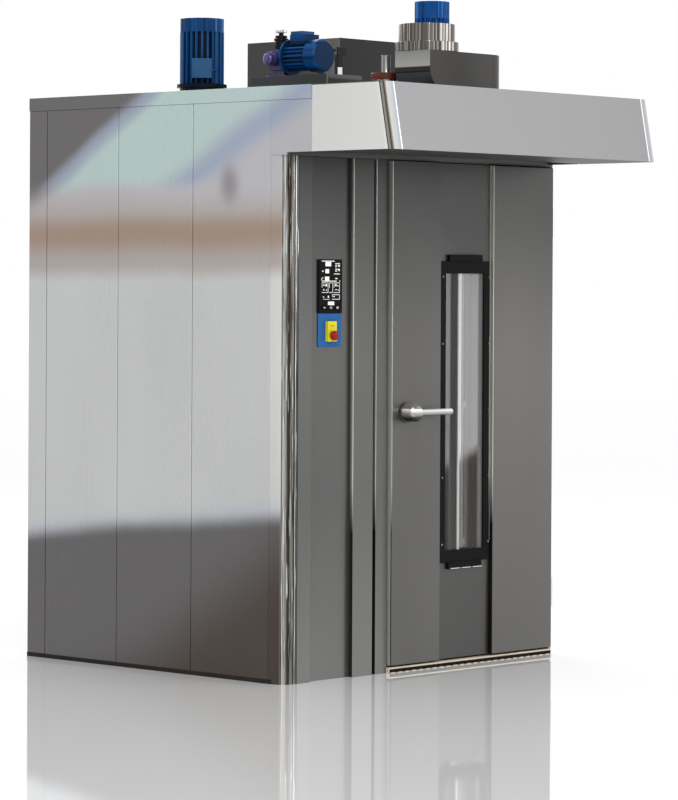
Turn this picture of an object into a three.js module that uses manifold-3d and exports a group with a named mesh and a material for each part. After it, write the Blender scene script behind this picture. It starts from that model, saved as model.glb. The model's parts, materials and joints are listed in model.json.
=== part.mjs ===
// Rotating rack oven: an insulated cabinet with a front door, an extraction canopy and the roof drives.
// Millimetres, +Z up. Inside `oven`, X runs from the left wall's outer face along the front,
// Y from the front plane towards the back and Z from the floor.
import * as THREE from "three";
import { mergeVertices } from "three/addons/utils/BufferGeometryUtils.js";
import Module from "manifold-3d";

const wasm = await Module();
wasm.setup();

// Cabinet
const width = 1620;
const depth = 1460;
const height = 2300;
const wallThickness = 80;
const rearThickness = 105;
const deckThickness = 54; // roof deck, whose edge shows as a band along the top
const deckProud = 2;
const floorThickness = 22;
const ceilingDrop = 300; // underside of the ceiling below the top of the roof
const ceilingThickness = 80;
const sideBays = 3;
const seam = 2; // open joint between casing panels
const panelChamfer = 3;
const fit = 0.3; // between faces that touch

// Front, from left to right
const columnWidth = 76;
const columnRadius = 58;
const stripWidth = 75;
const controlBayWidth = 238;
const controlBayDepth = 22;
const raisedPanelWidth = 117;
const grooveWidth = 16;
const grooveDepth = 30;
const jambWidth = 68;
const jambDepth = 148;
const stopWidth = 48; // how far the door stops reach into the opening
const doorSideGap = 5;
const hingeSideGap = 3;
const postWidth = 17;

// Canopy
const canopyHeight = 256;
const canopyReach = 551;
const canopyTopReach = 503;
const canopySheet = 3;
const canopyCorner = 44;
const sideWrap = 0.44; // radians of the corner that the side sheet covers
const coverStart = 0.95; // radians from the side at which the bright front sheet starts
const flangeRecess = 3;
const cornerSegments = 8;
const cheekReach = 138;
const cheekThickness = 30;
const headerLip = 10; // the header hangs this far below the canopy
const gutterThickness = 12;
const gutterFront = 375;

// Door
const doorCore = 62;
const doorSkin = 20;
const gasketThickness = 5.7;
const gasketWidth = 18;
const gasketInset = 26;
const doorTopGap = 4;
const doorFootGap = 8;
const leftSkinWidth = 291;
const channelWidth = 329;
const windowFrameWidth = 303;
const windowBottom = 417;
const windowDrop = 394; // top of the window frame below the top of the door
const windowRimSide = 33;
const windowRimEnd = 50;
const windowFrameDepth = 8;
const glassThickness = 6;
const glassLap = 15; // glass held behind the rim on every side
const ventWidth = 205;
const ventHeight = 26;
const ventDepth = 14;

// Hinges, latch and handle
const knuckleRadius = 7.5;
const hingePinRadius = 4;
const hingeLength = 120;
const hingeInset = 170;
const hingeAxisX = 1.5 + knuckleRadius; // from the door's edge
const hingeAxisY = 9; // in front of the front plane
const boreGap = 0.6;
const handleHeight = 1031;
const handleInset = 85;
const footRadius = 42;
const footThickness = 6;
const hubRadius = 36;
const hubFaceRadius = 26;
const hubDepth = 60;
const hubChamfer = 12;
const hubSides = 12;
const rodRadius = 13;
const rodReach = 223;
const rodSetback = 22; // rod axis behind the hub's front face
const spindleRadius = 6;
const tongueLength = 105;
const tongueWidth = 20;
const tongueThickness = 10;
const latchDepth = 20; // tongue behind the front plane
const latchRoom = 4; // clearance round the tongue in the door and in the jamb's groove
const grooveFloor = 6; // between the tongue and the groove's walls

// Controls
const keypadWidth = 131;
const keypadHeight = 210;
const keypadBottom = 1426;
const keypadThickness = 8;
const plateHeight = 131;
const plateThickness = 4;
const controlsInset = 54; // from the left side of the control bay
const stopBoxWidth = 51;
const stopBoxHeight = 79;
const stopBoxDepth = 15;
const knobRadius = 19;
const knobLength = 16;
const knobNeckRadius = 9;
const knobTravel = 5;
const keyWidth = 24;
const keyHeight = 15;
const keyProud = 3;
const keyTravel = 1;
const keyPocket = 5;
const keyPitch = 37;
const keyRise = 22; // key centres above the keypad's lower edge

// Chamber
const airWallThickness = 20;
const airWallX = 500;
const slotColumns = 3;
const slotRows = 9;
const slotLength = 260;
const slotHeight = 24;
const lampRadius = 7;
const lampY = 415;
const lampBottom = 400;
const lampLength = 1260;
const lampClipLength = 24;

// Circulation fan
const fanX = 300;
const fanFromRear = 703; // fan axis in front of the rear face
const fanShaftRadius = 15;
const fanWheelRadius = 190;
const fanWheelHeight = 120;
const fanWheelDrop = 60; // below the ceiling
const fanBlades = 12;
const fanPedestal = 31;
const fanFlangeRadius = 101;
const fanFlange = 14;
const fanMotorRadius = 89;
const fanFinDepth = 13;
const fanFinLength = 210;
const fanCowlLength = 55;
const fanBoxSize = 78;
const fanBoxDepth = 44;
const fanBoxRise = 20;
const glandRadius = 7;
const glandLength = 20;
const glandRise = 32;

// Rack drive
const standX = 700;
const standAhead = 318.5; // front of the stand before the rack's axis
const standWidth = 206;
const standLength = 437;
const standHeight = 98;
const gearX = 800;
const gearMotorInset = 112; // behind the front of the stand
const gearAxisRise = 182; // this and the next rises are above the roof
const gearCowlRadius = 68;
const gearCowlLength = 62;
const gearFinLength = 118;
const gearFinRadius = 60;
const gearFlangeRadius = 75;
const gearFlange = 12;
const gearBoxWidth = 84;
const gearBoxLength = 86;
const gearBoxTopRise = 215;
const gearBoxBottomRise = 130;
const gearCoverRadius = 28;
const gearCoverLength = 42;
const gearCoverDrop = 7; // the round cover sits this far below the motor's axis
const gearFoot = 8;
const outputRadius = 10;
const chainPitch = 12.7;
const chainRise = 225;
const chainHeight = 8;
const chainHalfWidth = 6;
const driveTeeth = 12;
const rackTeeth = 18;
const sprocketThickness = 6;
const rackShaftRadius = 20;
const bearingRadius = 50;
const bearingRise = 205;
const beamHeight = 118;
const hookDiscRadius = 90;
const hookDisc = 12;
const hookDrop = 100;

// Flue box, blower and steam pipe
const flueFromRight = 60;
const flueFromRear = 100;
const flueWidth = 380;
const flueLength = 550;
const flueHeight = 290;
const flueWall = 40;
const flueLid = 29;
const flueDuctHeight = 229; // opening in the back of the box, with the lid above it
const blowerX = 600;
const blowerFront = -208;
const blowerThroat = 184;
const blowerLength = 375;
const blowerHeight = 162;
const blowerWall = 8;
const blowerAxisX = 752;
const blowerAxisY = -84;
const blowerWheelRadius = 100;
const blowerWheelHeight = 96;
const blowerShaftRadius = 10;
const blowerInletRadius = 45;
const blowerBlades = 10;
const throatDrop = 62;
const throatLength = 50;
const throatRamp = 100;
const scrollFloor = 28;
const chamberGap = 8; // between the wheel and the scroll
const spigotRadius = 52;
const spigotLength = 60;
const spigotWall = 4;
const spigotInset = 20; // spigot axis before the centre of the round end
const ringOffset = 31; // the bell stands this far to the left of the motor's axis
const lowerRingRadius = 127;
const lowerRing = 38;
const upperRingRadius = 112;
const upperRing = 72;
const blowerMotorRadius = 69.5;
const blowerFinLength = 23;
const blowerCowlLength = 68;
const pipeX = 640;
const pipeY = 62;
const pipeRadius = 19;
const pipeWall = 2.5;
const pipeHeight = 152;
const collarRadius = 56;
const collarBottom = 56;
const collarHeight = 24;

// Levels and lines that follow from the sizes above
const ceilingBottom = height - ceilingDrop;
const canopyBottom = height - canopyHeight;
const deckBottom = height - deckThickness;
const wallTop = deckBottom - fit;
const headerBottom = canopyBottom - headerLip;
const postTop = headerBottom - fit;
const stopFace = doorCore + gasketThickness + fit;
const frontDepth = wallThickness - fit;
const stripX = columnWidth + seam;
const bayX = stripX + stripWidth;
const bayRight = bayX + controlBayWidth;
const raisedRight = bayRight + raisedPanelWidth;
const jambX = raisedRight + grooveWidth;
const jambRight = jambX + jambWidth;
const openingLeft = jambRight + stopWidth;
const postX = width - postWidth;
const doorLeft = jambRight + doorSideGap;
const doorRight = postX - hingeSideGap;
const doorBottom = floorThickness + doorFootGap;
const doorTop = headerBottom - doorTopGap;
const windowTop = doorTop - windowDrop;
const channelLeft = doorLeft + leftSkinWidth;
const channelRight = channelLeft + channelWidth;
const windowX = (channelLeft + channelRight) / 2;
const innerRight = width - wallThickness;
const innerRear = depth - rearThickness;
const handleX = doorLeft + handleInset;
const hubBack = -doorSkin - footThickness - fit;
const bayFace = controlBayDepth;
const controlsX = bayX + controlsInset;
const rackX = (airWallX + airWallThickness + innerRight) / 2;
const rackY = (jambDepth + innerRear) / 2;
const fanY = depth - fanFromRear;
const standY = rackY - standAhead;
const gearMotorY = standY + gearMotorInset;
const gearAxisZ = height + gearAxisRise;
const gearBoxTop = height + gearBoxTopRise;
const gearBoxBottom = height + gearBoxBottomRise;
const chainZ = height + chainRise;
const bearingTop = height + bearingRise;
const flueX = width - flueFromRight - flueWidth;
const flueY = depth - flueFromRear - flueLength;

// Geometry helpers
function block(x0, x1, y0, y1, z0, z1) {
  const made = new THREE.BoxGeometry(x1 - x0, y1 - y0, z1 - z0);
  return made.translate((x0 + x1) / 2, (y0 + y1) / 2, (z0 + z1) / 2);
}

function shapeOf(points) {
  return new THREE.Shape(points.map(([x, y]) => new THREE.Vector2(x, y)));
}

// A plan outline (x, y) raised from z0 to z1.
function prism(points, z0, z1) {
  const made = new THREE.ExtrudeGeometry(shapeOf(points), { depth: z1 - z0, bevelEnabled: false });
  return made.translate(0, 0, z0);
}

// A side outline (y, z) drawn out from x0 to x1.
function sideways(points, x0, x1) {
  const made = new THREE.ExtrudeGeometry(shapeOf(points), { depth: x1 - x0, bevelEnabled: false });
  return made.rotateY(Math.PI / 2).rotateX(Math.PI / 2).translate(x0, 0, 0);
}

// A front outline (x, z) drawn out from y0 back to y1.
function backwards(points, y0, y1) {
  const made = new THREE.ExtrudeGeometry(shapeOf(points), { depth: y1 - y0, bevelEnabled: false });
  return made.rotateX(Math.PI / 2).translate(0, y1, 0);
}

function upright(radius, x, y, z0, z1, sides = 32) {
  const made = new THREE.CylinderGeometry(radius, radius, z1 - z0, sides);
  return made.rotateX(Math.PI / 2).translate(x, y, (z0 + z1) / 2);
}

function rodAlongX(radius, x0, x1, y, z, sides = 24) {
  const made = new THREE.CylinderGeometry(radius, radius, x1 - x0, sides);
  return made.rotateZ(Math.PI / 2).translate((x0 + x1) / 2, y, z);
}

function rodAlongY(radius, x, y0, y1, z, sides = 24) {
  return new THREE.CylinderGeometry(radius, radius, y1 - y0, sides).translate(x, (y0 + y1) / 2, z);
}

// A turned shape about a vertical axis, from (radius, height) pairs that start and end on the axis.
function turned(profile, x, y, sides = 32) {
  const points = profile.map(([r, z]) => new THREE.Vector2(r, z));
  return new THREE.LatheGeometry(points, sides).rotateX(Math.PI / 2).translate(x, y, 0);
}

// A turned shape about an axis along Y, from (radius, y) pairs that start and end on the axis.
function turnedAlongY(profile, x, z, sides = 32) {
  const points = profile.map(([r, y]) => new THREE.Vector2(r, y));
  return new THREE.LatheGeometry(points, sides).rotateY(Math.PI / sides).translate(x, 0, z);
}

function arc(cx, cy, radius, from, to, steps) {
  return Array.from({ length: steps + 1 }, (_, i) => {
    const angle = from + ((to - from) * i) / steps;
    return [cx + radius * Math.cos(angle), cy + radius * Math.sin(angle)];
  });
}

// A round outline with `count` square ribs standing out of it.
function ribbed(cx, cy, root, tip, count) {
  const points = [];
  for (let i = 0; i < count; i++) {
    const middle = (2 * Math.PI * i) / count;
    const half = Math.PI / count / 2;
    const corners = [[root, -half * 1.2], [tip, -half * 0.8], [tip, half * 0.8], [root, half * 1.2]];
    for (const [radius, offset] of corners) {
      points.push([cx + radius * Math.cos(middle + offset), cy + radius * Math.sin(middle + offset)]);
    }
  }
  return points;
}

function solid(geometry) {
  const bare = (geometry.index ? geometry.toNonIndexed() : geometry.clone());
  bare.deleteAttribute("normal");
  bare.deleteAttribute("uv");
  const merged = mergeVertices(bare, 1e-3);
  return new wasm.Manifold(
    new wasm.Mesh({
      numProp: 3,
      vertProperties: new Float32Array(merged.attributes.position.array),
      triVerts: new Uint32Array(merged.index.array),
    }),
  );
}

function geometryOf(made) {
  const mesh = made.getMesh();
  const geometry = new THREE.BufferGeometry();
  geometry.setAttribute("position", new THREE.BufferAttribute(new Float32Array(mesh.vertProperties), 3));
  geometry.setIndex(new THREE.BufferAttribute(new Uint32Array(mesh.triVerts), 1));
  const faceted = geometry.toNonIndexed();
  faceted.computeVertexNormals();
  return faceted;
}

// `base` with every shape of `added` joined on and every shape of `removed` cut out.
function worked(base, added = [], removed = []) {
  const whole = added.reduce((made, shape) => made.add(solid(shape)), solid(base));
  return geometryOf(removed.reduce((made, shape) => made.subtract(solid(shape)), whole));
}

function finish(color, roughness, metalness) {
  return { color, roughness, metalness };
}

const finishes = {
  sideSteel: finish(0xc9cccd, 0.22, 0.9),
  frontSteel: finish(0x6e6f70, 0.35, 0.85),
  polished: finish(0xd6d6d4, 0.1, 1),
  innerSteel: finish(0xa9a9a6, 0.3, 0.9),
  galvanised: finish(0x5e5f5d, 0.5, 0.7),
  motorBlue: finish(0x10509a, 0.35, 0.1),
  gearPurple: finish(0x4b3f86, 0.4, 0.1),
  black: finish(0x191a1b, 0.4, 0.2),
  rubber: finish(0x2a2523, 0.8, 0),
  glass: finish(0xdfe6e6, 0.05, 0),
  blue: finish(0x1f63a5, 0.45, 0),
  yellow: finish(0xe5dc20, 0.5, 0),
  red: finish(0xb01010, 0.4, 0),
  white: finish(0xf2f2ee, 0.4, 0),
  beige: finish(0xcfc2ae, 0.6, 0),
  castIron: finish(0x2c2b2a, 0.7, 0.6),
};

const oven = new THREE.Group();

function piece(name, finishName, geometry) {
  const mesh = new THREE.Mesh(geometry, new THREE.MeshStandardMaterial(finishes[finishName]));
  mesh.name = name;
  oven.add(mesh);
}

// Casing: side and rear panels, corner column, floor, ceiling and roof deck
const bayLength = (innerRear - wallThickness) / sideBays;

function sidePanels() {
  const names = ["front", "middle", "rear"];
  for (let i = 0; i < sideBays; i++) {
    const y0 = wallThickness + bayLength * i + seam / 2;
    const y1 = y0 + bayLength - seam;
    const c = panelChamfer;
    const outline = [[0, y0 + c], [c, y0], [wallThickness, y0], [wallThickness, y1], [c, y1], [0, y1 - c]];
    const label = names[i] ?? `extra_${i}`;
    piece(`left_panel_${label}`, "sideSteel", prism(outline, 0, wallTop));
  }
}

function groovedEdge(x, inward, lines) {
  return lines.flatMap((y) => [[x, y - panelChamfer], [x + inward * panelChamfer, y], [x, y + panelChamfer]]);
}

function rightWall() {
  const seams = Array.from({ length: sideBays - 1 }, (_, i) => wallThickness + bayLength * (i + 1));
  const outline = [
    [innerRight, wallThickness],
    [width, wallThickness],
    ...groovedEdge(width, -1, seams),
    [width, innerRear - seam],
    [innerRight, innerRear - seam],
  ];
  piece("right_wall", "sideSteel", prism(outline, 0, wallTop));
}

function rearWall() {
  const front = innerRear;
  const seams = [width / 3, (width * 2) / 3].reverse();
  const c = panelChamfer;
  const edge = seams.flatMap((x) => [[x + c, depth], [x, depth - c], [x - c, depth]]);
  const outline = [[0, front], [width, front], [width, depth], ...edge, [0, depth]];
  piece("rear_wall", "sideSteel", prism(outline, 0, wallTop));
}

function cornerColumn() {
  const back = wallThickness - seam / 2;
  const outline = [
    ...arc(columnRadius, columnRadius, columnRadius, Math.PI, 1.5 * Math.PI, cornerSegments),
    [columnWidth, 0],
    [columnWidth, back],
    [0, back],
  ];
  piece("corner_column", "polished", prism(outline, 0, postTop));
}

function floorPan() {
  const outline = [
    [wallThickness + fit, wallThickness],
    [jambX - fit, wallThickness],
    [jambX - fit, jambDepth + fit],
    [innerRight - fit, jambDepth + fit],
    [innerRight - fit, innerRear - fit],
    [wallThickness + fit, innerRear - fit],
  ];
  piece("floor_pan", "innerSteel", prism(outline, 0, floorThickness));
}

function ceilingPanel() {
  const top = ceilingBottom + ceilingThickness;
  const slab = block(
    wallThickness + fit, innerRight - fit, jambDepth + fit, innerRear - fit, ceilingBottom, top,
  );
  const holes = [
    upright(fanShaftRadius + 5, fanX, fanY, ceilingBottom - 1, top + 1),
    upright(rackShaftRadius + 5, rackX, rackY, ceilingBottom - 1, top + 1),
  ];
  piece("ceiling_panel", "innerSteel", worked(slab, [], holes));
}

function roofDeck() {
  const slab = block(-deckProud, width + deckProud, 0, depth + deckProud, deckBottom, height);
  const holes = [
    upright(fanShaftRadius + 5, fanX, fanY, deckBottom - 1, height + 1),
    upright(rackShaftRadius + 5, rackX, rackY, deckBottom - 1, height + 1),
  ];
  piece("roof_deck", "sideSteel", worked(slab, [], holes));
}

// The strip of roof that reaches forward over the cheeks, with the blower's inlet in it.
function canopyRoof() {
  const slab = block(-deckProud, width + deckProud, -cheekReach, -fit, deckBottom, height);
  const inlet = upright(blowerInletRadius, blowerAxisX, blowerAxisY, deckBottom - 1, height + 1);
  piece("canopy_roof", "sideSteel", worked(slab, [], [inlet]));
}

// Front: fascia with its control bay, door jamb, hinge post, header and threshold
function controlFascia() {
  const outline = [
    [stripX, 0], [bayX, 0], [bayX, bayFace], [bayRight, bayFace], [bayRight, 0], [raisedRight, 0],
    [raisedRight, grooveDepth], [jambX - fit, grooveDepth], [jambX - fit, frontDepth], [stripX, frontDepth],
  ];
  piece("control_fascia", "frontSteel", prism(outline, 0, postTop));
}

const tongueSweep = tongueLength + latchRoom;
const tongueCorner = Math.hypot(tongueWidth, tongueWidth) / 2;
const pocketFront = latchDepth - latchRoom;
const pocketBack = latchDepth + tongueThickness + latchRoom;
const pocketTop = handleHeight + tongueCorner + latchRoom;

// A box post with a trim strip along its front edge and the door stop behind. The groove between strip
// and stop runs the whole height, and the latch tongue swings into it.
function doorJamb() {
  const grooveEnd = handleX - tongueSweep - latchRoom;
  const grooveFront = latchDepth - grooveFloor;
  const grooveBack = latchDepth + tongueThickness + grooveFloor;
  const stopLeft = grooveEnd + fit;
  const stop = [
    [stopLeft, grooveBack], [jambRight, grooveBack], [jambRight, stopFace], [openingLeft, stopFace],
    [openingLeft, jambDepth], [stopLeft, jambDepth],
  ];
  piece("door_jamb", "frontSteel", block(jambX, grooveEnd, 0, jambDepth, 0, postTop));
  piece("jamb_trim", "frontSteel", block(stopLeft, jambRight, 0, grooveFront, 0, postTop));
  piece("door_stop", "frontSteel", prism(stop, 0, postTop));
}

function hingePost() {
  const outline = [
    [postX, 0], [width, 0], [width, frontDepth], [innerRight, frontDepth],
    [innerRight, stopFace], [postX, stopFace],
  ];
  piece("hinge_post", "frontSteel", prism(outline, 0, postTop));
}

function frontHeader() {
  const beam = block(0, width, 0, frontDepth, headerBottom, wallTop);
  const back = block(
    wallThickness + fit, innerRight - fit, frontDepth - 1, jambDepth, headerBottom, wallTop,
  );
  const stop = block(
    openingLeft + fit, innerRight - fit, stopFace, jambDepth, ceilingBottom - 10, headerBottom + 1,
  );
  const arms = [0, width - cheekThickness].map((x) =>
    block(x, x + cheekThickness, -cheekReach, 1, canopyBottom, wallTop),
  );
  piece("front_header", "sideSteel", worked(beam, [back, stop, ...arms]));
}

const thresholdLip = 16;

function threshold() {
  const x0 = jambRight + fit;
  const x1 = postX - fit;
  const outline = [
    [x0, -thresholdLip], [x1, -thresholdLip], [x1, stopFace - fit], [innerRight - fit, stopFace - fit],
    [innerRight - fit, jambDepth], [openingLeft + fit, jambDepth], [openingLeft + fit, stopFace - fit],
    [x0, stopFace - fit],
  ];
  piece("threshold", "beige", prism(outline, 0, floorThickness));
}

// Chamber fittings behind the casing
function airWall() {
  const y0 = jambDepth + fit;
  const y1 = innerRear - fit;
  const z0 = floorThickness + fit;
  const z1 = ceilingBottom - fit;
  const plate = block(airWallX, airWallX + airWallThickness, y0, y1, z0, z1);
  const slots = [];
  for (let column = 0; column < slotColumns; column++) {
    for (let row = 0; row < slotRows; row++) {
      const y = y0 + ((y1 - y0) * (column + 0.5)) / slotColumns;
      const z = z0 + ((z1 - z0) * (row + 0.5)) / slotRows;
      slots.push(
        block(
          airWallX - 1, airWallX + airWallThickness + 1,
          y - slotLength / 2, y + slotLength / 2, z - slotHeight / 2, z + slotHeight / 2,
        ),
      );
    }
  }
  piece("air_wall", "innerSteel", worked(plate, [], slots));
}

const heaterBottom = 320;
const heaterTop = ceilingBottom - 360;
const heaterHalf = 150;
const heaterTubes = 3;
const heaterTubeRadius = 16;
const heaterPlate = 10;

function heaterBank() {
  const plateAt = (z) =>
    block(fanX - heaterHalf, fanX + heaterHalf, fanY - heaterHalf, fanY + heaterHalf, z, z + heaterPlate);
  const legs = [-1, 1].map((side) =>
    block(
      fanX + side * (heaterHalf - 10) - 10, fanX + side * (heaterHalf - 10) + 10,
      fanY - 10, fanY + 10, floorThickness + fit, heaterTop,
    ),
  );
  const tubes = [];
  for (let i = 0; i < heaterTubes; i++) {
    for (let j = 0; j < heaterTubes; j++) {
      const x = fanX + heaterHalf * 0.6 * (i - (heaterTubes - 1) / 2);
      const y = fanY + heaterHalf * 0.6 * (j - (heaterTubes - 1) / 2);
      tubes.push(upright(heaterTubeRadius, x, y, heaterBottom + 1, heaterTop + 1, 12));
    }
  }
  piece("heater_bank", "castIron", worked(plateAt(heaterBottom), [plateAt(heaterTop), ...legs, ...tubes]));
}

const cascadeDepth = 180;
const cascadeRearGap = 45;
const cascadeY = innerRear - cascadeRearGap - cascadeDepth;
const cascadeHalfWidth = 160;
const cascadeRows = 6;
const cascadeBottom = 300;
const cascadePitch = 200;

function steamCascade() {
  const back = cascadeY + cascadeDepth;
  const post = block(
    fanX - 15, fanX + 15, back - 20, back, floorThickness + fit, cascadeBottom + cascadePitch * cascadeRows,
  );
  const shelves = [];
  for (let row = 0; row < cascadeRows; row++) {
    const z = cascadeBottom + cascadePitch * row;
    const trough = [
      [cascadeY, z], [back - 10, z], [back - 10, z + 50], [back - 30, z + 50],
      [back - 30, z + 20], [cascadeY + 20, z + 20], [cascadeY + 20, z + 50], [cascadeY, z + 50],
    ];
    shelves.push(sideways(trough, fanX - cascadeHalfWidth, fanX + cascadeHalfWidth));
  }
  piece("steam_cascade", "castIron", worked(post, shelves));
}

function lampTube() {
  const wall = innerRight - fit;
  const x = wall - lampRadius - 6;
  const tube = upright(lampRadius, x, lampY, lampBottom, lampBottom + lampLength, 16);
  const clips = [0.04, 0.5, 0.96].map((share) => {
    const z = lampBottom + lampLength * share;
    return block(x, wall, lampY - 8, lampY + 8, z - lampClipLength / 2, z + lampClipLength / 2);
  });
  piece("lamp_tube", "white", worked(tube, clips));
}

// Canopy: leaning front with rounded corners, side sheets that turn into them, and the plate underneath
// Points on the left front corner; the angle runs from the side (0) to the front (a quarter turn).
function leftCorner(front, inset, from, to, steps) {
  const x = canopyCorner - deckProud;
  return arc(x, front + canopyCorner, canopyCorner - inset, Math.PI + from, Math.PI + to, steps);
}

function mirrored(points) {
  return points.map(([x, y]) => [width - x, y]).reverse();
}

function coverPath(front, inset) {
  const flange = leftCorner(front, inset + flangeRecess, sideWrap + 0.06, coverStart - 0.05, 3);
  const half = [...flange, ...leftCorner(front, inset, coverStart, Math.PI / 2, cornerSegments)];
  return [...half, ...mirrored(half)];
}

function sidePath(front, inset) {
  return [[inset - deckProud, -cheekReach - seam], ...leftCorner(front, inset, 0, sideWrap, 4)];
}

// A wall between four rings of matching points: outer and inner at the bottom, outer and inner at the top.
function wallBetween(rings, z0, z1) {
  const [outerLow, innerLow, outerHigh, innerHigh] = rings;
  const at = (points, z) => points.map(([x, y]) => [x, y, z]);
  const corners = [at(outerLow, z0), at(innerLow, z0), at(innerHigh, z1), at(outerHigh, z1)];
  const count = outerLow.length;
  const positions = [];
  const quad = (a, b, c, d) => positions.push(...a, ...b, ...c, ...a, ...c, ...d);
  for (let i = 0; i + 1 < count; i++) {
    for (let k = 0; k < 4; k++) {
      const near = corners[k];
      const far = corners[(k + 1) % 4];
      quad(near[i], far[i], far[i + 1], near[i + 1]);
    }
  }
  quad(corners[3][0], corners[2][0], corners[1][0], corners[0][0]);
  quad(corners[0][count - 1], corners[1][count - 1], corners[2][count - 1], corners[3][count - 1]);
  const geometry = new THREE.BufferGeometry();
  geometry.setAttribute("position", new THREE.Float32BufferAttribute(positions, 3));
  return geometry;
}

function canopyCover() {
  const wall = wallBetween(
    [
      coverPath(-canopyReach, 0), coverPath(-canopyReach, canopySheet),
      coverPath(-canopyTopReach, 0), coverPath(-canopyTopReach, canopySheet),
    ],
    canopyBottom, height,
  );
  const corner = leftCorner(-canopyTopReach, 0.5, 0, Math.PI / 2, cornerSegments);
  const half = [[0.5 - deckProud, -cheekReach - fit], ...corner];
  const lid = prism([...half, ...mirrored(half)], height - canopySheet, height);
  piece("canopy_cover", "sideSteel", worked(wall, [lid]));
}

function canopySides() {
  const under = height - canopySheet - fit;
  const rings = [
    sidePath(-canopyReach, 0), sidePath(-canopyReach, canopySheet),
    sidePath(-canopyTopReach, 0), sidePath(-canopyTopReach, canopySheet),
  ];
  piece("canopy_left_side", "sideSteel", wallBetween(rings, canopyBottom, under));
  piece("canopy_right_side", "sideSteel", wallBetween(rings.map(mirrored), canopyBottom, under));
}

// The plate under the front of the canopy; behind it the canopy is open down to the header.
function canopyGutter() {
  const lean = (canopyReach - canopyTopReach) / (height - canopyBottom);
  const clear = canopySheet - deckProud + fit;
  const front = -canopyReach + canopySheet + gutterThickness * lean + fit;
  const r = canopyCorner;
  const left = [[clear, front + gutterFront], [clear, front + r], [clear + r, front]];
  const plate = prism([...left, ...mirrored(left)], canopyBottom, canopyBottom + gutterThickness);
  piece("canopy_gutter", "galvanised", plate);
}

// Door
const windowLeft = windowX - windowFrameWidth / 2;
const windowRight = windowX + windowFrameWidth / 2;
const paneLeft = windowLeft + windowRimSide - glassLap;
const paneRight = windowRight - windowRimSide + glassLap;
const paneBottom = windowBottom + windowRimEnd - glassLap;
const paneTop = windowTop - windowRimEnd + glassLap;
const innerLip = 6;

function doorCoreSlab() {
  const slab = block(doorLeft, doorRight, 0, doorCore, doorBottom, doorTop);
  const rebate = block(paneLeft, paneRight, -1, doorCore - innerLip, paneBottom, paneTop);
  const sight = block(
    paneLeft + glassLap, paneRight - glassLap, -1, doorCore + 1, paneBottom + glassLap, paneTop - glassLap,
  );
  const pocket = block(
    doorLeft - 1, handleX + tongueCorner + latchRoom, pocketFront, pocketBack,
    handleHeight - tongueSweep, pocketTop,
  );
  const bore = rodAlongY(spindleRadius + boreGap, handleX, -1, pocketBack + latchRoom, handleHeight);
  piece("door_core", "frontSteel", worked(slab, [], [rebate, sight, pocket, bore]));
}

function doorSkins() {
  const bore = rodAlongY(spindleRadius + boreGap, handleX, -doorSkin - 1, 1, handleHeight);
  const left = block(doorLeft, channelLeft, -doorSkin, -fit, doorBottom, doorTop);
  const right = block(channelRight, doorRight, -doorSkin, -fit, doorBottom, doorTop);
  piece("door_left_skin", "frontSteel", worked(left, [], [bore]));
  piece("door_right_skin", "frontSteel", right);
}

function windowFrame() {
  const rim = block(windowLeft, windowRight, -windowFrameDepth, -fit, windowBottom, windowTop);
  const vents = [windowBottom - ventHeight, windowTop - 1].map((z) =>
    block(windowX - ventWidth / 2, windowX + ventWidth / 2, -ventDepth, -fit, z, z + ventHeight + 1),
  );
  const sight = block(
    windowLeft + windowRimSide, windowRight - windowRimSide, -windowFrameDepth - 1, 1,
    windowBottom + windowRimEnd, windowTop - windowRimEnd,
  );
  piece("window_frame", "black", worked(rim, vents, [sight]));
}

function windowGlass() {
  const pane = (y) =>
    block(paneLeft + fit, paneRight - fit, y, y + glassThickness, paneBottom + fit, paneTop - fit);
  piece("outer_glass", "glass", pane(fit));
  piece("inner_glass", "glass", pane(doorCore - innerLip - fit - glassThickness));
}

function doorGasket() {
  const x0 = openingLeft - gasketInset;
  const x1 = innerRight + gasketInset;
  const z0 = doorBottom + gasketInset;
  const z1 = ceilingBottom - 10 + gasketInset;
  const y0 = doorCore + fit;
  const y1 = doorCore + gasketThickness;
  const ring = block(x0, x1, y0, y1, z0, z1);
  const inside = block(
    x0 + gasketWidth, x1 - gasketWidth, y0 - 1, y1 + 1, z0 + gasketWidth, z1 - gasketWidth,
  );
  piece("door_gasket", "rubber", worked(ring, [], [inside]));
}

// Hinges: each has a bracket with the pin on the hinge post, and a leaf on the door's edge
function hinges() {
  const x = doorRight + hingeAxisX;
  const y = -hingeAxisY;
  const third = hingeLength / 3;
  const places = { bottom: doorBottom + hingeInset, top: doorTop - hingeInset - hingeLength };
  for (const [label, z] of Object.entries(places)) {
    const lower = upright(knuckleRadius, x, y, z, z + third - fit, 24);
    const upper = upright(knuckleRadius, x, y, z + 2 * third + fit, z + hingeLength, 24);
    const pin = upright(hingePinRadius, x, y, z + 1, z + hingeLength - 1, 16);
    const ties = [[z, z + third - fit], [z + 2 * third + fit, z + hingeLength]].map(([z0, z1]) =>
      block(x - hingeAxisX + hingeSideGap + 1, x + knuckleRadius - 1, y, -fit, z0, z1),
    );
    piece(`hinge_${label}_bracket`, "polished", worked(lower, [upper, pin, ...ties]));
    const barrel = upright(knuckleRadius, x, y, z + third, z + 2 * third, 24);
    const leaf = block(
      doorRight + fit, x, y - knuckleRadius + 1, y + knuckleRadius - 1, z + third, z + 2 * third,
    );
    const bore = upright(hingePinRadius + boreGap, x, y, z, z + hingeLength, 16);
    piece(`hinge_${label}_leaf`, "polished", worked(barrel, [leaf], [bore]));
  }
}

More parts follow.
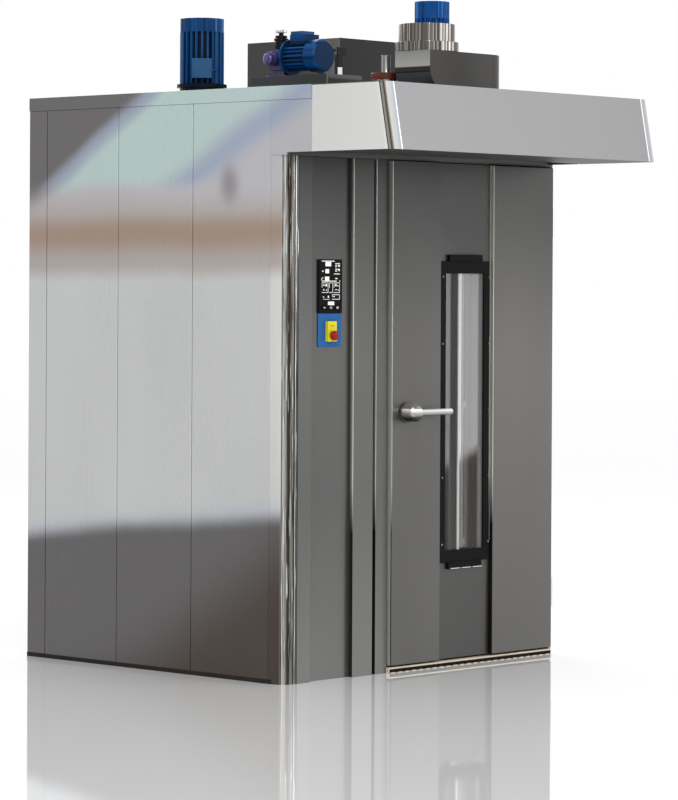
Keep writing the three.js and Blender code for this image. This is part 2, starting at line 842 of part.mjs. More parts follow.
// Handle: a faceted hub with a round foot and a rod, and the spindle that turns the latch tongue
function handle() {
  const foot = rodAlongY(footRadius, handleX, hubBack - 1, -doorSkin - fit, handleHeight, 40);
  const front = hubBack - hubDepth;
  const hub = turnedAlongY(
    [[0, front], [hubFaceRadius, front], [hubRadius, front + hubChamfer], [hubRadius, hubBack], [0, hubBack]],
    handleX, handleHeight, hubSides,
  );
  const rodY = front + rodSetback;
  const rod = rodAlongX(rodRadius, handleX, handleX + rodReach - 4, rodY, handleHeight);
  const tip = rodAlongX(rodRadius - 3, handleX, handleX + rodReach, rodY, handleHeight);
  piece("handle_lever", "polished", worked(hub, [rod, tip, foot]));

  const tongueBack = latchDepth + tongueThickness;
  const spindle = rodAlongY(spindleRadius, handleX, -doorSkin, tongueBack + 1, handleHeight);
  const tongue = block(
    handleX - tongueWidth / 2, handleX + tongueWidth / 2,
    latchDepth, tongueBack,
    handleHeight - tongueLength, handleHeight + tongueWidth / 2,
  );
  piece("latch_tongue", "polished", worked(spindle, [tongue]));
}

// Controls in the recessed bay
function keyPlaces() {
  const names = ["start", "light", "steam"];
  return names.map((name, i) => ({
    name: `key_${name}`,
    x: controlsX + keypadWidth / 2 + keyPitch * (i - (names.length - 1) / 2),
    z: keypadBottom + keyRise,
  }));
}

function keypad() {
  const back = bayFace - fit;
  const front = back - keypadThickness;
  const panel = block(
    controlsX, controlsX + keypadWidth, front, back, keypadBottom + fit, keypadBottom + keypadHeight,
  );
  const pockets = keyPlaces().map(({ x, z }) =>
    block(
      x - keyWidth / 2 - 2 * fit, x + keyWidth / 2 + 2 * fit, front - 1, front + keyPocket,
      z - keyHeight / 2 - 2 * fit, z + keyHeight / 2 + 2 * fit,
    ),
  );
  piece("keypad_panel", "black", worked(panel, [], pockets));
  for (const { name, x, z } of keyPlaces()) {
    piece(
      name,
      "white",
      block(
        x - keyWidth / 2, x + keyWidth / 2, front - keyProud, front + keyPocket - keyTravel - fit,
        z - keyHeight / 2, z + keyHeight / 2,
      ),
    );
  }
}

function stopStation() {
  const plateFront = bayFace - fit - plateThickness;
  piece(
    "switch_plate",
    "blue",
    block(
      controlsX, controlsX + keypadWidth, plateFront, bayFace - fit,
      keypadBottom - plateHeight, keypadBottom - fit,
    ),
  );
  const x = controlsX + keypadWidth / 2;
  const z = keypadBottom - plateHeight / 2 - 5;
  const boxBack = plateFront - fit;
  const boxFront = boxBack - stopBoxDepth;
  const box = block(
    x - stopBoxWidth / 2, x + stopBoxWidth / 2, boxFront, boxBack,
    z - stopBoxHeight / 2, z + stopBoxHeight / 2,
  );
  const knobZ = z - stopBoxHeight / 5;
  const bore = rodAlongY(knobNeckRadius + boreGap, x, boxFront - 1, boxBack - 1, knobZ);
  piece("stop_box", "yellow", worked(box, [], [bore]));
  const neckEnd = boxBack - 1 - knobTravel - fit;
  const headBack = boxFront - knobTravel - 2 * fit;
  const button = turnedAlongY(
    [
      [0, headBack - knobLength],
      [knobRadius * 0.6, headBack - knobLength + 1],
      [knobRadius * 0.92, headBack - knobLength + 5],
      [knobRadius, headBack - knobLength / 2],
      [knobRadius, headBack],
      [knobNeckRadius, headBack],
      [knobNeckRadius, neckEnd],
      [0, neckEnd],
    ],
    x, knobZ, 24,
  );
  piece("stop_button", "red", button);
}

// Circulation fan: finned motor on the roof, shaft and wheel under the ceiling
function fanMotor() {
  const flangeZ = height + fanPedestal;
  const finZ = flangeZ + fanFlange;
  const cowlZ = finZ + fanFinLength;
  const pedestal = upright(fanMotorRadius, fanX, fanY, height + fit, flangeZ + 1, 24);
  const flange = upright(fanFlangeRadius, fanX, fanY, flangeZ, finZ, 24);
  const ribs = prism(
    ribbed(fanX, fanY, fanMotorRadius - fanFinDepth, fanMotorRadius, 24), finZ - 1, cowlZ + 1,
  );
  const cowl = prism(
    ribbed(fanX, fanY, fanMotorRadius - 3, fanMotorRadius, 12), cowlZ, cowlZ + fanCowlLength,
  );
  const bore = upright(fanShaftRadius + boreGap, fanX, fanY, height - 1, flangeZ, 24);
  piece("fan_motor", "motorBlue", worked(pedestal, [flange, ribs, cowl, fanTerminalBox(finZ)], [bore]));
}

function fanTerminalBox(finZ) {
  const z = finZ + fanBoxRise;
  const half = fanBoxSize / 2;
  const face = fanMotorRadius + fanBoxDepth;
  const box = block(fanMotorRadius - fanFinDepth, face, -half, half, z, z + fanBoxSize);
  const glandX = face - fanBoxDepth / 2;
  const gland = rodAlongY(glandRadius, glandX, half - 1, half + glandLength, z + glandRise, 12);
  return worked(box, [gland]).rotateZ(1.25 * Math.PI).translate(fanX, fanY, 0);
}

function bladedWheel(x, y, radius, bladeCount, z0, z1, shaftRadius, shaftTop) {
  const plate = 4;
  const disc = upright(radius, x, y, z1 - plate, z1, 40);
  const shroud = worked(
    upright(radius, x, y, z0, z0 + plate, 40), [], [upright(radius * 0.62, x, y, z0 - 1, z0 + plate + 1, 40)],
  );
  const hub = upright(shaftRadius * 2, x, y, z1 - plate - 30, z1, 24);
  const shaft = upright(shaftRadius, x, y, z1 - plate - 30, shaftTop, 24);
  const blades = Array.from({ length: bladeCount }, (_, i) =>
    block(radius * 0.64, radius - 2, -2, 2, z0 + 1, z1 - 1)
      .rotateZ((2 * Math.PI * i) / bladeCount)
      .translate(x, y, 0),
  );
  return worked(disc, [shroud, hub, shaft, ...blades]);
}

function fanWheel() {
  const top = ceilingBottom - fanWheelDrop;
  const shaftTop = height + fanPedestal - fit;
  piece(
    "fan_wheel",
    "innerSteel",
    bladedWheel(fanX, fanY, fanWheelRadius, fanBlades, top - fanWheelHeight, top, fanShaftRadius, shaftTop),
  );
}

// Rack drive: stand and bearing, gear motor, chain and the shaft that carries the rack hook
const standTop = height + standHeight;
const gearboxY = gearMotorY + gearCowlLength + gearFinLength + gearFlange + fit;
const outputY = gearboxY + gearBoxLength * 0.64;

function driveStand() {
  const stand = block(
    standX, standX + standWidth, standY, standY + standLength, height + fit, standTop,
  );
  const beamTop = height + beamHeight;
  const beam = block(
    standX + standWidth - 1, rackX + bearingRadius + 20, rackY - bearingRadius - 10,
    rackY + bearingRadius + 10, height + fit, beamTop,
  );
  const bearing = upright(bearingRadius, rackX, rackY, beamTop - 1, bearingTop);
  const bore = upright(rackShaftRadius + boreGap, rackX, rackY, height - 1, bearingTop + 1);
  piece("drive_stand", "galvanised", worked(stand, [beam, bearing], [bore]));
}

function gearMotor() {
  const finY = gearMotorY + gearCowlLength;
  const flangeY = finY + gearFinLength;
  const end = flangeY + gearFlange;
  const chamfer = 8;
  const cowl = turnedAlongY(
    [
      [0, gearMotorY],
      [gearCowlRadius - chamfer, gearMotorY],
      [gearCowlRadius, gearMotorY + chamfer],
      [gearCowlRadius, finY],
      [0, finY],
    ],
    gearX, gearAxisZ, 32,
  );
  const ribs = backwards(
    ribbed(gearX, gearAxisZ, gearFinRadius - 8, gearFinRadius, 20), finY - 1, flangeY + 1,
  );
  const flange = rodAlongY(gearFlangeRadius, gearX, flangeY, end, gearAxisZ, 32);
  const boxTop = gearAxisZ + gearFinRadius + 30;
  const box = block(gearX - 42, gearX + 42, finY + 8, flangeY - 22, gearAxisZ + gearFinRadius - 12, boxTop);
  piece("gear_motor", "motorBlue", worked(cowl, [ribs, flange, box]));
}

function gearbox() {
  const y0 = gearboxY;
  const y1 = y0 + gearBoxLength;
  const half = gearBoxWidth / 2;
  const block0 = block(gearX - half, gearX + half, y0, y1, gearBoxBottom, gearBoxTop);
  const leg = block(gearX - 26, gearX + 26, y0 + 12, y1 - 12, standTop + fit, gearBoxBottom + 1);
  const foot = block(gearX - 58, gearX + 58, y0 - 4, y1 + 4, standTop + fit, standTop + fit + gearFoot);
  const cover = rodAlongX(
    gearCoverRadius, gearX - half - gearCoverLength, gearX - half + 1, outputY, gearAxisZ - gearCoverDrop, 24,
  );
  const bore = upright(outputRadius + boreGap, gearX, outputY, gearBoxBottom + 10, gearBoxTop + 1);
  piece("gearbox", "gearPurple", worked(block0, [leg, foot, cover], [bore]));
}

function pitchRadius(teeth) {
  return (chainPitch * teeth) / (2 * Math.PI);
}

function sprocketDisc(x, y, teeth) {
  const tip = pitchRadius(teeth) - chainHalfWidth - fit;
  return prism(
    ribbed(x, y, tip - 4, tip, teeth), chainZ - sprocketThickness / 2, chainZ + sprocketThickness / 2,
  );
}

function driveSprocket() {
  const disc = sprocketDisc(gearX, outputY, driveTeeth);
  const shaft = upright(outputRadius, gearX, outputY, gearBoxBottom + 12, chainZ + 60);
  const hub = upright(outputRadius + 7, gearX, outputY, gearBoxTop + fit, chainZ + 34);
  const collars = [18, 40].map((rise) =>
    upright(outputRadius + 15, gearX, outputY, chainZ + rise, chainZ + rise + 9),
  );
  piece("drive_sprocket", "black", worked(shaft, [hub, disc, ...collars]));
}

// The outline of a belt of the given half width round both sprockets' pitch circles.
function chainOutline(offset) {
  const small = pitchRadius(driveTeeth) + offset;
  const large = pitchRadius(rackTeeth) + offset;
  const along = Math.atan2(rackY - outputY, rackX - gearX);
  const distance = Math.hypot(rackX - gearX, rackY - outputY);
  const flare = Math.acos((small - large) / distance);
  return [
    ...arc(rackX, rackY, large, along - flare, along + flare, 24),
    ...arc(gearX, outputY, small, along + flare, along + 2 * Math.PI - flare, 24),
  ];
}

function driveChain() {
  const z0 = chainZ - chainHeight / 2;
  const outer = prism(chainOutline(chainHalfWidth), z0, z0 + chainHeight);
  const inner = prism(chainOutline(-chainHalfWidth), z0 - 1, z0 + chainHeight + 1);
  piece("drive_chain", "black", worked(outer, [], [inner]));
}

function rackHook() {
  const discTop = ceilingBottom - 30;
  const discBottom = discTop - hookDisc;
  const shaft = upright(rackShaftRadius, rackX, rackY, discBottom + 1, chainZ + 20);
  const collar = upright(rackShaftRadius + 8, rackX, rackY, bearingTop + fit, chainZ + 12);
  const disc = upright(hookDiscRadius, rackX, rackY, discBottom, discTop, 40);
  const prongs = [-1, 1].flatMap((side) => {
    const x = rackX + side * (hookDiscRadius - 22);
    const foot = discBottom - hookDrop;
    return [
      block(x - 8, x + 8, rackY - 20, rackY + 20, foot, discBottom + 1),
      block(x - 8, x + 8, rackY - 20, rackY + 60, foot, foot + 16),
      block(x - 8, x + 8, rackY + 44, rackY + 60, foot, foot + 50),
    ];
  });
  piece(
    "rack_hook", "innerSteel",
    worked(shaft, [collar, sprocketDisc(rackX, rackY, rackTeeth), disc, ...prongs]),
  );
}

// Flue box, blower and steam pipe
function flueBox() {
  const x1 = flueX + flueWidth;
  const y1 = flueY + flueLength;
  const z1 = height + flueHeight;
  const shell = block(flueX, x1, flueY, y1, height + fit, z1);
  const hollow = block(
    flueX + flueWall, x1 - flueWall, flueY + flueWall, y1 + 1,
    z1 - flueDuctHeight, z1 - flueLid,
  );
  piece("flue_box", "galvanised", worked(shell, [], [hollow]));
}

// The scroll's plan: a throat on the left, straight sides and a round end on the right.
const scrollEndX = blowerX + blowerLength;
const scrollRear = blowerFront + 2 * lowerRingRadius;
const scrollTop = height + blowerHeight;
const scrollLedge = height + scrollFloor;

function scrollCase(z0, z1) {
  const outline = [
    [blowerX, blowerFront],
    ...arc(scrollEndX, blowerFront + lowerRingRadius, lowerRingRadius, -Math.PI / 2, Math.PI / 2, 16),
    [blowerAxisX - 15, scrollRear],
    [blowerX + throatLength, blowerFront + blowerThroat],
    [blowerX, blowerFront + blowerThroat],
  ];
  return prism(outline, z0, z1);
}

// What is cut away under the throat, with a round ramp down to the roof.
function throatCut() {
  const throatZ = scrollTop - throatDrop;
  const outline = [
    [blowerX - 1, throatZ],
    ...arc(blowerX + throatRamp, throatZ, throatRamp, Math.PI, 1.5 * Math.PI, 10),
    [blowerX - 1, throatZ - throatRamp],
  ];
  return backwards(outline, blowerFront - 1, scrollRear + 1);
}

function blowerBase() {
  const inlet = upright(blowerInletRadius, blowerAxisX, blowerAxisY, height - 1, scrollLedge + 1);
  piece("blower_base", "galvanised", worked(scrollCase(height + fit, scrollLedge), [], [throatCut(), inlet]));
}

function blowerScroll() {
  const chamberRadius = blowerWheelRadius + chamberGap;
  const chamber = prism(
    [
      ...arc(blowerAxisX, blowerAxisY, chamberRadius, Math.PI / 2, 1.5 * Math.PI, 20),
      ...arc(scrollEndX, blowerAxisY, chamberRadius, -Math.PI / 2, Math.PI / 2, 16),
    ],
    scrollLedge, scrollTop - blowerWall,
  );
  const spigotX = scrollEndX - spigotInset;
  const spigotZ = height + blowerHeight / 2;
  const spigotEnd = scrollRear + spigotLength;
  const spigot = rodAlongY(spigotRadius, spigotX, scrollRear - 1, spigotEnd, spigotZ, 24);
  const bore = rodAlongY(spigotRadius - spigotWall, spigotX, blowerAxisY, spigotEnd + 1, spigotZ, 24);
  const shaftHole = upright(
    blowerShaftRadius + chamberGap / 2, blowerAxisX, blowerAxisY, scrollTop - blowerWall - 1, scrollTop + 1,
  );
  piece(
    "blower_scroll", "galvanised",
    worked(scrollCase(scrollLedge + fit, scrollTop), [spigot], [throatCut(), chamber, bore, shaftHole]),
  );
}

const ringBottom = scrollTop + fit;
const ringTop = ringBottom + lowerRing + upperRing;

function blowerBell() {
  const x = blowerAxisX - ringOffset;
  const middle = ringBottom + lowerRing;
  const outer = turned(
    [
      [0, ringBottom], [lowerRingRadius, ringBottom], [lowerRingRadius, middle],
      [upperRingRadius, middle], [upperRingRadius, ringTop], [0, ringTop],
    ],
    x, blowerAxisY, 48,
  );
  const shaftHole = upright(
    blowerShaftRadius + chamberGap / 2, blowerAxisX, blowerAxisY, ringBottom - 1, ringTop + 1,
  );
  piece("blower_bell", "polished", worked(outer, [], [shaftHole]));
}

function blowerMotor() {
  const z0 = ringTop + fit;
  const finTop = z0 + blowerFinLength;
  const ribs = prism(
    ribbed(blowerAxisX, blowerAxisY, blowerMotorRadius - 9, blowerMotorRadius, 20), z0, finTop + 1,
  );
  const cowl = prism(
    ribbed(blowerAxisX, blowerAxisY, blowerMotorRadius - 3, blowerMotorRadius, 12),
    finTop, finTop + blowerCowlLength,
  );
  piece("blower_motor", "motorBlue", worked(ribs, [cowl]));
}

function blowerWheel() {
  const z0 = height + (blowerHeight - blowerWheelHeight) / 2;
  piece(
    "blower_wheel", "innerSteel",
    bladedWheel(
      blowerAxisX, blowerAxisY, blowerWheelRadius, blowerBlades,
      z0, z0 + blowerWheelHeight, blowerShaftRadius, ringTop - fit,
    ),
  );
}

function steamPipe() {
  const z0 = height + fit;
  const collarZ = height + collarBottom;
  const pipe = upright(pipeRadius, pipeX, pipeY, z0, height + pipeHeight, 32);
  const plinth = upright(pipeRadius + 26, pipeX, pipeY, z0, collarZ + 1, 32);
  const collar = upright(collarRadius, pipeX, pipeY, collarZ, collarZ + collarHeight, 40);
  const bore = upright(pipeRadius - pipeWall, pipeX, pipeY, z0 + 4, height + pipeHeight + 1, 32);
  piece("steam_pipe", "polished", worked(pipe, [plinth, collar], [bore]));
}

sidePanels();
rightWall();
rearWall();
cornerColumn();
floorPan();
ceilingPanel();
roofDeck();
canopyRoof();
controlFascia();
doorJamb();
hingePost();
frontHeader();
threshold();
airWall();
heaterBank();
steamCascade();
lampTube();
canopyCover();
canopySides();
canopyGutter();
doorCoreSlab();
doorSkins();
windowFrame();
windowGlass();
doorGasket();
hinges();
handle();
keypad();
stopStation();
fanMotor();
fanWheel();
driveStand();
gearMotor();
gearbox();
driveSprocket();
driveChain();
rackHook();
flueBox();
blowerBase();
blowerScroll();
blowerBell();
blowerMotor();
blowerWheel();
steamPipe();

// The part's origin is at the middle of its footprint, on the floor.
const group = new THREE.Group();
group.add(oven);
oven.position.set(-width / 2, -(depth + deckProud - canopyReach) / 2, 0);

export default group;
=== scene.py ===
# Looks of the rack oven: finishes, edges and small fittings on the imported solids.
import json
import math

import bmesh
import bpy
from mathutils import Euler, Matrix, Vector


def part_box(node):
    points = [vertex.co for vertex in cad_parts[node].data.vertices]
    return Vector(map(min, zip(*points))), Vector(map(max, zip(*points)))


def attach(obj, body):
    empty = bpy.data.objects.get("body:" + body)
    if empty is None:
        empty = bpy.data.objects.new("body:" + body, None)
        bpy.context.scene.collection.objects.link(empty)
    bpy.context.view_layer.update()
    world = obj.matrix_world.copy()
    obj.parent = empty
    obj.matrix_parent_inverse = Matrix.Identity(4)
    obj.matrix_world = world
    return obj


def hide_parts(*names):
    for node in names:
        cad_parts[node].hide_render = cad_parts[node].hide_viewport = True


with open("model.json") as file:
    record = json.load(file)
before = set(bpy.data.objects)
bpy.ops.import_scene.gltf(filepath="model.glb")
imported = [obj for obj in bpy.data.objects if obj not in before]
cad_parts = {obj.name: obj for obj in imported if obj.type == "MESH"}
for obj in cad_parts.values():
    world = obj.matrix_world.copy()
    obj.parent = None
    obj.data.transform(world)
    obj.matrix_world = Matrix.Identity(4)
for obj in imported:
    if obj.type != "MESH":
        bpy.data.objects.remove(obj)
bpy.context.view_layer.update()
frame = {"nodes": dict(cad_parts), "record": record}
nodes = frame["nodes"]
bodyOfNode = {n: b for b, ns in frame["record"]["behaviour"]["bodies"].items() for n in ns}
print("frame loaded:", len(nodes), "nodes")

mm = 0.001
frontLeft = Vector((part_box("left_panel_front")[0].x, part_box("control_fascia")[0].y, 0))


def plan(x, y, z):
    # millimetres from the casing's front left corner on the floor, to the frame's metres
    return frontLeft + Vector((x, y, z)) * mm


def onAxis(axis, *values):
    # the same for values along one axis
    return [plan(v, v, v)["XYZ".index(axis)] for v in values]


def newObject(name, data):
    made = bpy.data.objects.new(name, data)
    bpy.context.scene.collection.objects.link(made)
    return made


# Camera: found from the photograph's vanishing lines; the picture is 678 x 800 pixels.
photoCamera = {
    "pictureHeight": 800,
    "focalPixels": 3340.65,
    "horizonRow": 288.73,
    "yaw": 47.221,  # degrees to the right of +Y
    "pitch": -0.02,
    "roll": 0.293,
    "fromFrontLeftCorner": (-9.2527, -8.8449, 1.5263),  # metres
    "sensor": 36,
    "clip": (0.1, 200),
}


def makeCamera():
    c = photoCamera
    data = bpy.data.cameras.new("photoCamera")
    data.sensor_fit = "AUTO"
    data.sensor_width = c["sensor"]
    data.lens = c["focalPixels"] * c["sensor"] / c["pictureHeight"]
    data.shift_y = (c["horizonRow"] - c["pictureHeight"] / 2) / c["pictureHeight"]
    data.clip_start, data.clip_end = c["clip"]
    camera = newObject("photoCamera", data)
    camera.location = Vector(c["fromFrontLeftCorner"]) + frontLeft
    turn = [math.radians(a) for a in (90 + c["pitch"], -c["roll"], -c["yaw"])]
    camera.rotation_euler = Euler(turn, "XYZ")
    bpy.context.scene.camera = camera
    print("camera placed at", tuple(round(v, 3) for v in camera.location))


makeCamera()


def hexColour(value):
    # sRGB hex to the linear colour Blender wants
    out = []
    for i in (1, 3, 5):
        v = int(value[i:i + 2], 16) / 255
        out.append(v / 12.92 if v <= 0.04045 else ((v + 0.055) / 1.055) ** 2.4)
    return (*out, 1.0)


building = {}  # "tree" is the node tree that is being built, one at a time


def fill(node, inputs):
    # links or sets the node's inputs
    for key, value in inputs.items():
        if isinstance(value, bpy.types.NodeSocket):
            building["tree"].links.new(value, node.inputs[key])
        else:
            node.inputs[key].default_value = value


def addNode(kind, settings=None, inputs=None):
    node = building["tree"].nodes.new(kind)
    for key, value in (settings or {}).items():
        setattr(node, key, value)
    fill(node, inputs or {})
    return node


def maths(operation, *values):
    return addNode("ShaderNodeMath", {"operation": operation}, dict(enumerate(values))).outputs[0]


def vectors(operation, *values):
    # a vector, or a number where the operation gives one
    made = addNode("ShaderNodeVectorMath", {"operation": operation}, dict(enumerate(values)))
    return made.outputs["Value" if operation in ("LENGTH", "DOT_PRODUCT") else "Vector"]


def ranged(value, start, end, low=0.0, high=1.0, kind="LINEAR"):
    # low at the start and high at the end
    return addNode("ShaderNodeMapRange", {"interpolation_type": kind}, {
        "Value": value, "From Min": start, "From Max": end, "To Min": low, "To Max": high,
    }).outputs[0]


def axisOf(vector, axis):
    return addNode("ShaderNodeSeparateXYZ", inputs={0: vector}).outputs[axis]


def facingOf(axis):
    return axisOf(addNode("ShaderNodeTexCoord").outputs["Normal"], axis)


def noiseOf(place, scale, detail, roughness=0.5, seed=None):
    made = addNode("ShaderNodeTexNoise", {"noise_dimensions": "3D" if seed is None else "4D"}, {
        "Vector": place, "Scale": scale, "Detail": detail, "Roughness": roughness,
    })
    if seed is not None:
        made.inputs["W"].default_value = seed
    return made.outputs


def newMaterial(name, shaderInputs):
    material = bpy.data.materials.new(name)
    material.use_nodes = True
    building["tree"] = material.node_tree
    material.node_tree.nodes.clear()
    shader = addNode("ShaderNodeBsdfPrincipled", inputs=shaderInputs)
    addNode("ShaderNodeOutputMaterial", inputs={"Surface": shader.outputs["BSDF"]})
    place = addNode("ShaderNodeTexCoord").outputs["Object"]
    return material, shader, place


def rampOf(source, stops):
    ramp = addNode("ShaderNodeValToRGB", inputs={"Fac": source})
    band = ramp.color_ramp
    while len(band.elements) < len(stops):
        band.elements.new(0.5)
    for element, (at, colour) in zip(band.elements, stops):
        element.position = at
        element.color = hexColour(colour)
    return ramp.outputs["Color"]


def times(factors):
    made = factors[0]
    for factor in factors[1:]:
        made = maths("MULTIPLY", made, factor)
    return made


def inverse(factor):
    return maths("SUBTRACT", 1.0, factor)


def between(value, low, high):
    return times([maths("GREATER_THAN", value, low), maths("LESS_THAN", value, high)])


def blended(factor, under, over):
    under, over = (hexColour(c) if isinstance(c, str) else c for c in (under, over))
    return addNode("ShaderNodeMix", {"data_type": "RGBA"}, {0: factor, 6: under, 7: over}).outputs[2]


def scaled(tone, factor):
    return addNode("ShaderNodeVectorMath", {"operation": "SCALE"}, {0: tone, "Scale": factor}).outputs[0]


def stretched(place, scale):
    return addNode("ShaderNodeMapping", inputs={"Vector": place, "Scale": scale}).outputs[0]


def acrossLine(place, line, axes=(1, 2)):
    # 0 on one side of a line drawn on the sheet, 1 on the other, with a soft edge; line is
    # (first point, second point, softness) in millimetres on the plan's two axes
    (a0, b0), (a1, b1), soft = line
    along = Vector((a1 - a0, b1 - b0)).normalized()
    across, start = [0, 0, 0], [0, 0, 0]
    across[axes[0]], across[axes[1]] = -along.y, along.x
    start[axes[0]], start[axes[1]] = a0, b0
    reach = vectors("DOT_PRODUCT", vectors("SUBTRACT", place, plan(*start)), across)
    return ranged(reach, -soft * mm / 2, soft * mm / 2, kind="SMOOTHERSTEP")


def nearTo(place, at, size):
    # 1 at a point of the wall, falling to 0 at the size round it
    middle = vectors("SUBTRACT", place, plan(0, *at))
    shares = vectors("MULTIPLY", middle, (0, 1 / (size[0] * mm), 1 / (size[1] * mm)))
    return ranged(vectors("LENGTH", shares), 1.0, 0.0, kind="SMOOTHERSTEP")


def shifted(place, amount, size):
    # the place moved a little by slow noise, so that no edge of tone is ruler straight
    noise = noiseOf(place, 1 / (size * mm), 2.0)["Color"]
    centred = vectors("SUBTRACT", noise, (0.5, 0.5, 0.5))
    return vectors("MULTIPLY_ADD", centred, (amount * mm,) * 3, place)


# Stainless sheet with a brushed grain: long fine scratches that blur the reflections along one
# direction, over slow cloudy changes of tone from rolling and handling.
brushing = {"lineStretch": 0.004, "lineRoughness": 0.6, "cloudStretch": 0.35, "cloudRate": 1.6,
            "cloudRoughness": 0.45, "lineShare": 0.25, "spread": (0.05, 0.07), "depth": 0.0002}
# Enamel or powder coat: an even colour with a slight orange peel and dust in the tone.
enamel = {"patchRate": 9.0, "patchRoughness": 0.55, "coatRoughness": 0.12, "spread": (0.06, 0.06),
          "depth": 0.0003}
patchSpan = (0.3, 0.7)  # the part of a noise's values that carries the change of tone


def applyLook(shader, place, look, kind, patch, relief):
    # tone and roughness follow the patches, and the relief is fine bump
    tone = rampOf(patch, list(zip(patchSpan, (look["dark"], look["light"]))))
    if "tones" in look:
        tone = look["tones"](place, tone)
    smoother, rougher = kind["spread"]
    rough = ranged(patch, *patchSpan, look["roughness"] - smoother, look["roughness"] + rougher)
    bump = addNode("ShaderNodeBump", inputs={
        "Strength": look["bump"], "Distance": kind["depth"], "Height": relief,
    }).outputs[0]
    fill(shader, {"Base Color": tone, "Roughness": rough, "Normal": bump})


def brushedSteel(name, look):
    material, shader, place = newMaterial(name, {"Metallic": look["metallic"]})
    b, grain = brushing, 1 / (look["grain"] * mm)
    lineScale = [grain * (b["lineStretch"] if axis == look["along"] else 1) for axis in "XYZ"]
    cloudScale = [b["cloudStretch"] if axis == look["along"] else 1.0 for axis in "XYZ"]
    lines = noiseOf(stretched(place, lineScale), 1.0, 4.0, b["lineRoughness"])["Fac"]
    cloud = noiseOf(stretched(place, cloudScale), b["cloudRate"], 3.0, b["cloudRoughness"])["Fac"]
    mixed = addNode("ShaderNodeMix", {"data_type": "FLOAT"}, {
        0: b["lineShare"], 2: cloud, 3: lines,
    }).outputs[0]
    applyLook(shader, place, look, brushing, mixed, lines)
    return material


def paintedMetal(name, look):
    material, shader, place = newMaterial(name, {
        "Metallic": 0.0, "Coat Weight": look.get("coat", 0.0), "Coat Roughness": enamel["coatRoughness"],
        "Specular IOR Level": look.get("shine", 0.3),
    })
    patch = noiseOf(place, enamel["patchRate"], 4.0, enamel["patchRoughness"])["Fac"]
    peel = noiseOf(place, 1 / (look["peel"] * mm), 2.0)["Fac"]
    applyLook(shader, place, look, enamel, patch, peel)
    return material


# The long left wall has a painted reflection of the room: a brown band at the height of a far wall,
# a pale green field of daylight above it, a dark corner at the back and a dark foot. Points
# are (depth, height) on the wall; a line is its two points and its softness.
wall = {
    "lines": {
        "foot": ((1447, 515), (19, 650), 105), "footEdge": ((1447, 560), (19, 700), 130),
        "frontFoot": ((732, 60), (18, 520), 520), "bandBottom": ((1393, 1575), (25, 1585), 110),
        "bandTop": ((1395, 1865), (27, 1850), 210), "fieldFloor": ((1274, 1930), (519, 1930), 90),
        "backEdge": ((748, 2305), (1308, 1940), 140), "frontEdge": ((-91, 2282), (474, 1973), 240),
    },
    # spots of the painted reflection: the core of the brown band and a grey patch
    "spots": {"bandCore": ((700, 1735), (4000, 120)), "greyPatch": ((297, 1925), (95, 130))},
    "layers": [  # a colour and its factors: the far side of a line or, with "not", its near side
        ("#a8a09b", "not bandBottom"),
        ("#9b8779", "bandCore"),
        ("#b3b2b6", "not bandTop"),
        ("#b0c3c0", "frontEdge", "not fieldFloor"),
        ("#939db4", "not frontEdge", "frontEdge", "not fieldFloor", 3.2),
        ("#666464", "backEdge", "not bandTop"),
        ("#98a0b8", "backEdge", "not backEdge", "not fieldFloor", 2.4),
        ("#8f8a8d", "greyPatch"),
        ("#aab0bc", "footEdge", 0.5),
        ("#5f5d5e", "foot"),
        ("#40362f", "frontFoot", 0.9, "foot"),
    ],
    "shift": (45, 420),  # how far the edges of the tones wander, and over what length
    "reach": 16,  # how far in from the wall's face the tones go
}


# paints the room's reflection on the wall's face
def onWall(place, plain):
    moved = shifted(place, *wall["shift"])
    found = {name: nearTo(moved, *spot) for name, spot in wall["spots"].items()}
    for name, line in wall["lines"].items():
        found[name] = acrossLine(moved, line)
        found["not " + name] = inverse(found[name])
    tone = plain
    for colour, *factors in wall["layers"]:
        tone = blended(times([found.get(factor, factor) for factor in factors]), tone, colour)
    reach = wall["reach"] * mm
    face = ranged(axisOf(place, "X"), frontLeft.x + reach, frontLeft.x + reach / 2)
    return blended(face, plain, tone)


# Front sheets: painted shade under the canopy above and painted light from the floor below. The side
# faces of the recesses have painted light of the room in their upper part and painted shade of the dark floor
# below.
frontTones = {
    "underCanopy": (1150, 2000, 0.46),  # two heights, and the share of light at the second
    "nearFloor": (700, 60, 1.45),
    "zoneSpan": (300, 1900),  # a zone's two shares are for these heights
    # zones of painted shade and light, such as the dark groove beside the jamb and the door's channel
    "bodyZones": [(153, 391, 0.9, 0.86), (508, 524, 0.45, 0.45), (524, 597, 0.97, 0.9)],  # X, X, shares
    "doorZones": [(590, 888, 0.9, 0.94), (888, 1217, 0.6, 1.02), (1217, 1605, 0.98, 1.28)],
    # painted light and shade on the side faces of the recesses and the door's edges: light above, dark below
    # and behind the corner, pale on the door's left side
    "edges": [(391, -6, 40, "bright"), (524, -6, 60, "bright"), (597, -24, -16, "bright"),
              (597, -16, 70, "dull"), (1217, -24, 10, "bright")],  # X, then the reach in Y
    "edgeDull": "#d8d8d2",
    "edgeDepths": (2, 18, "#4a4744"),  # behind the corner the sides darken
    "edgeWidth": 1.3,
    "edgeTurn": (560, 760),
    "edgeLight": "#f1f1e9",
    "edgeDark": "#2c2623",
}


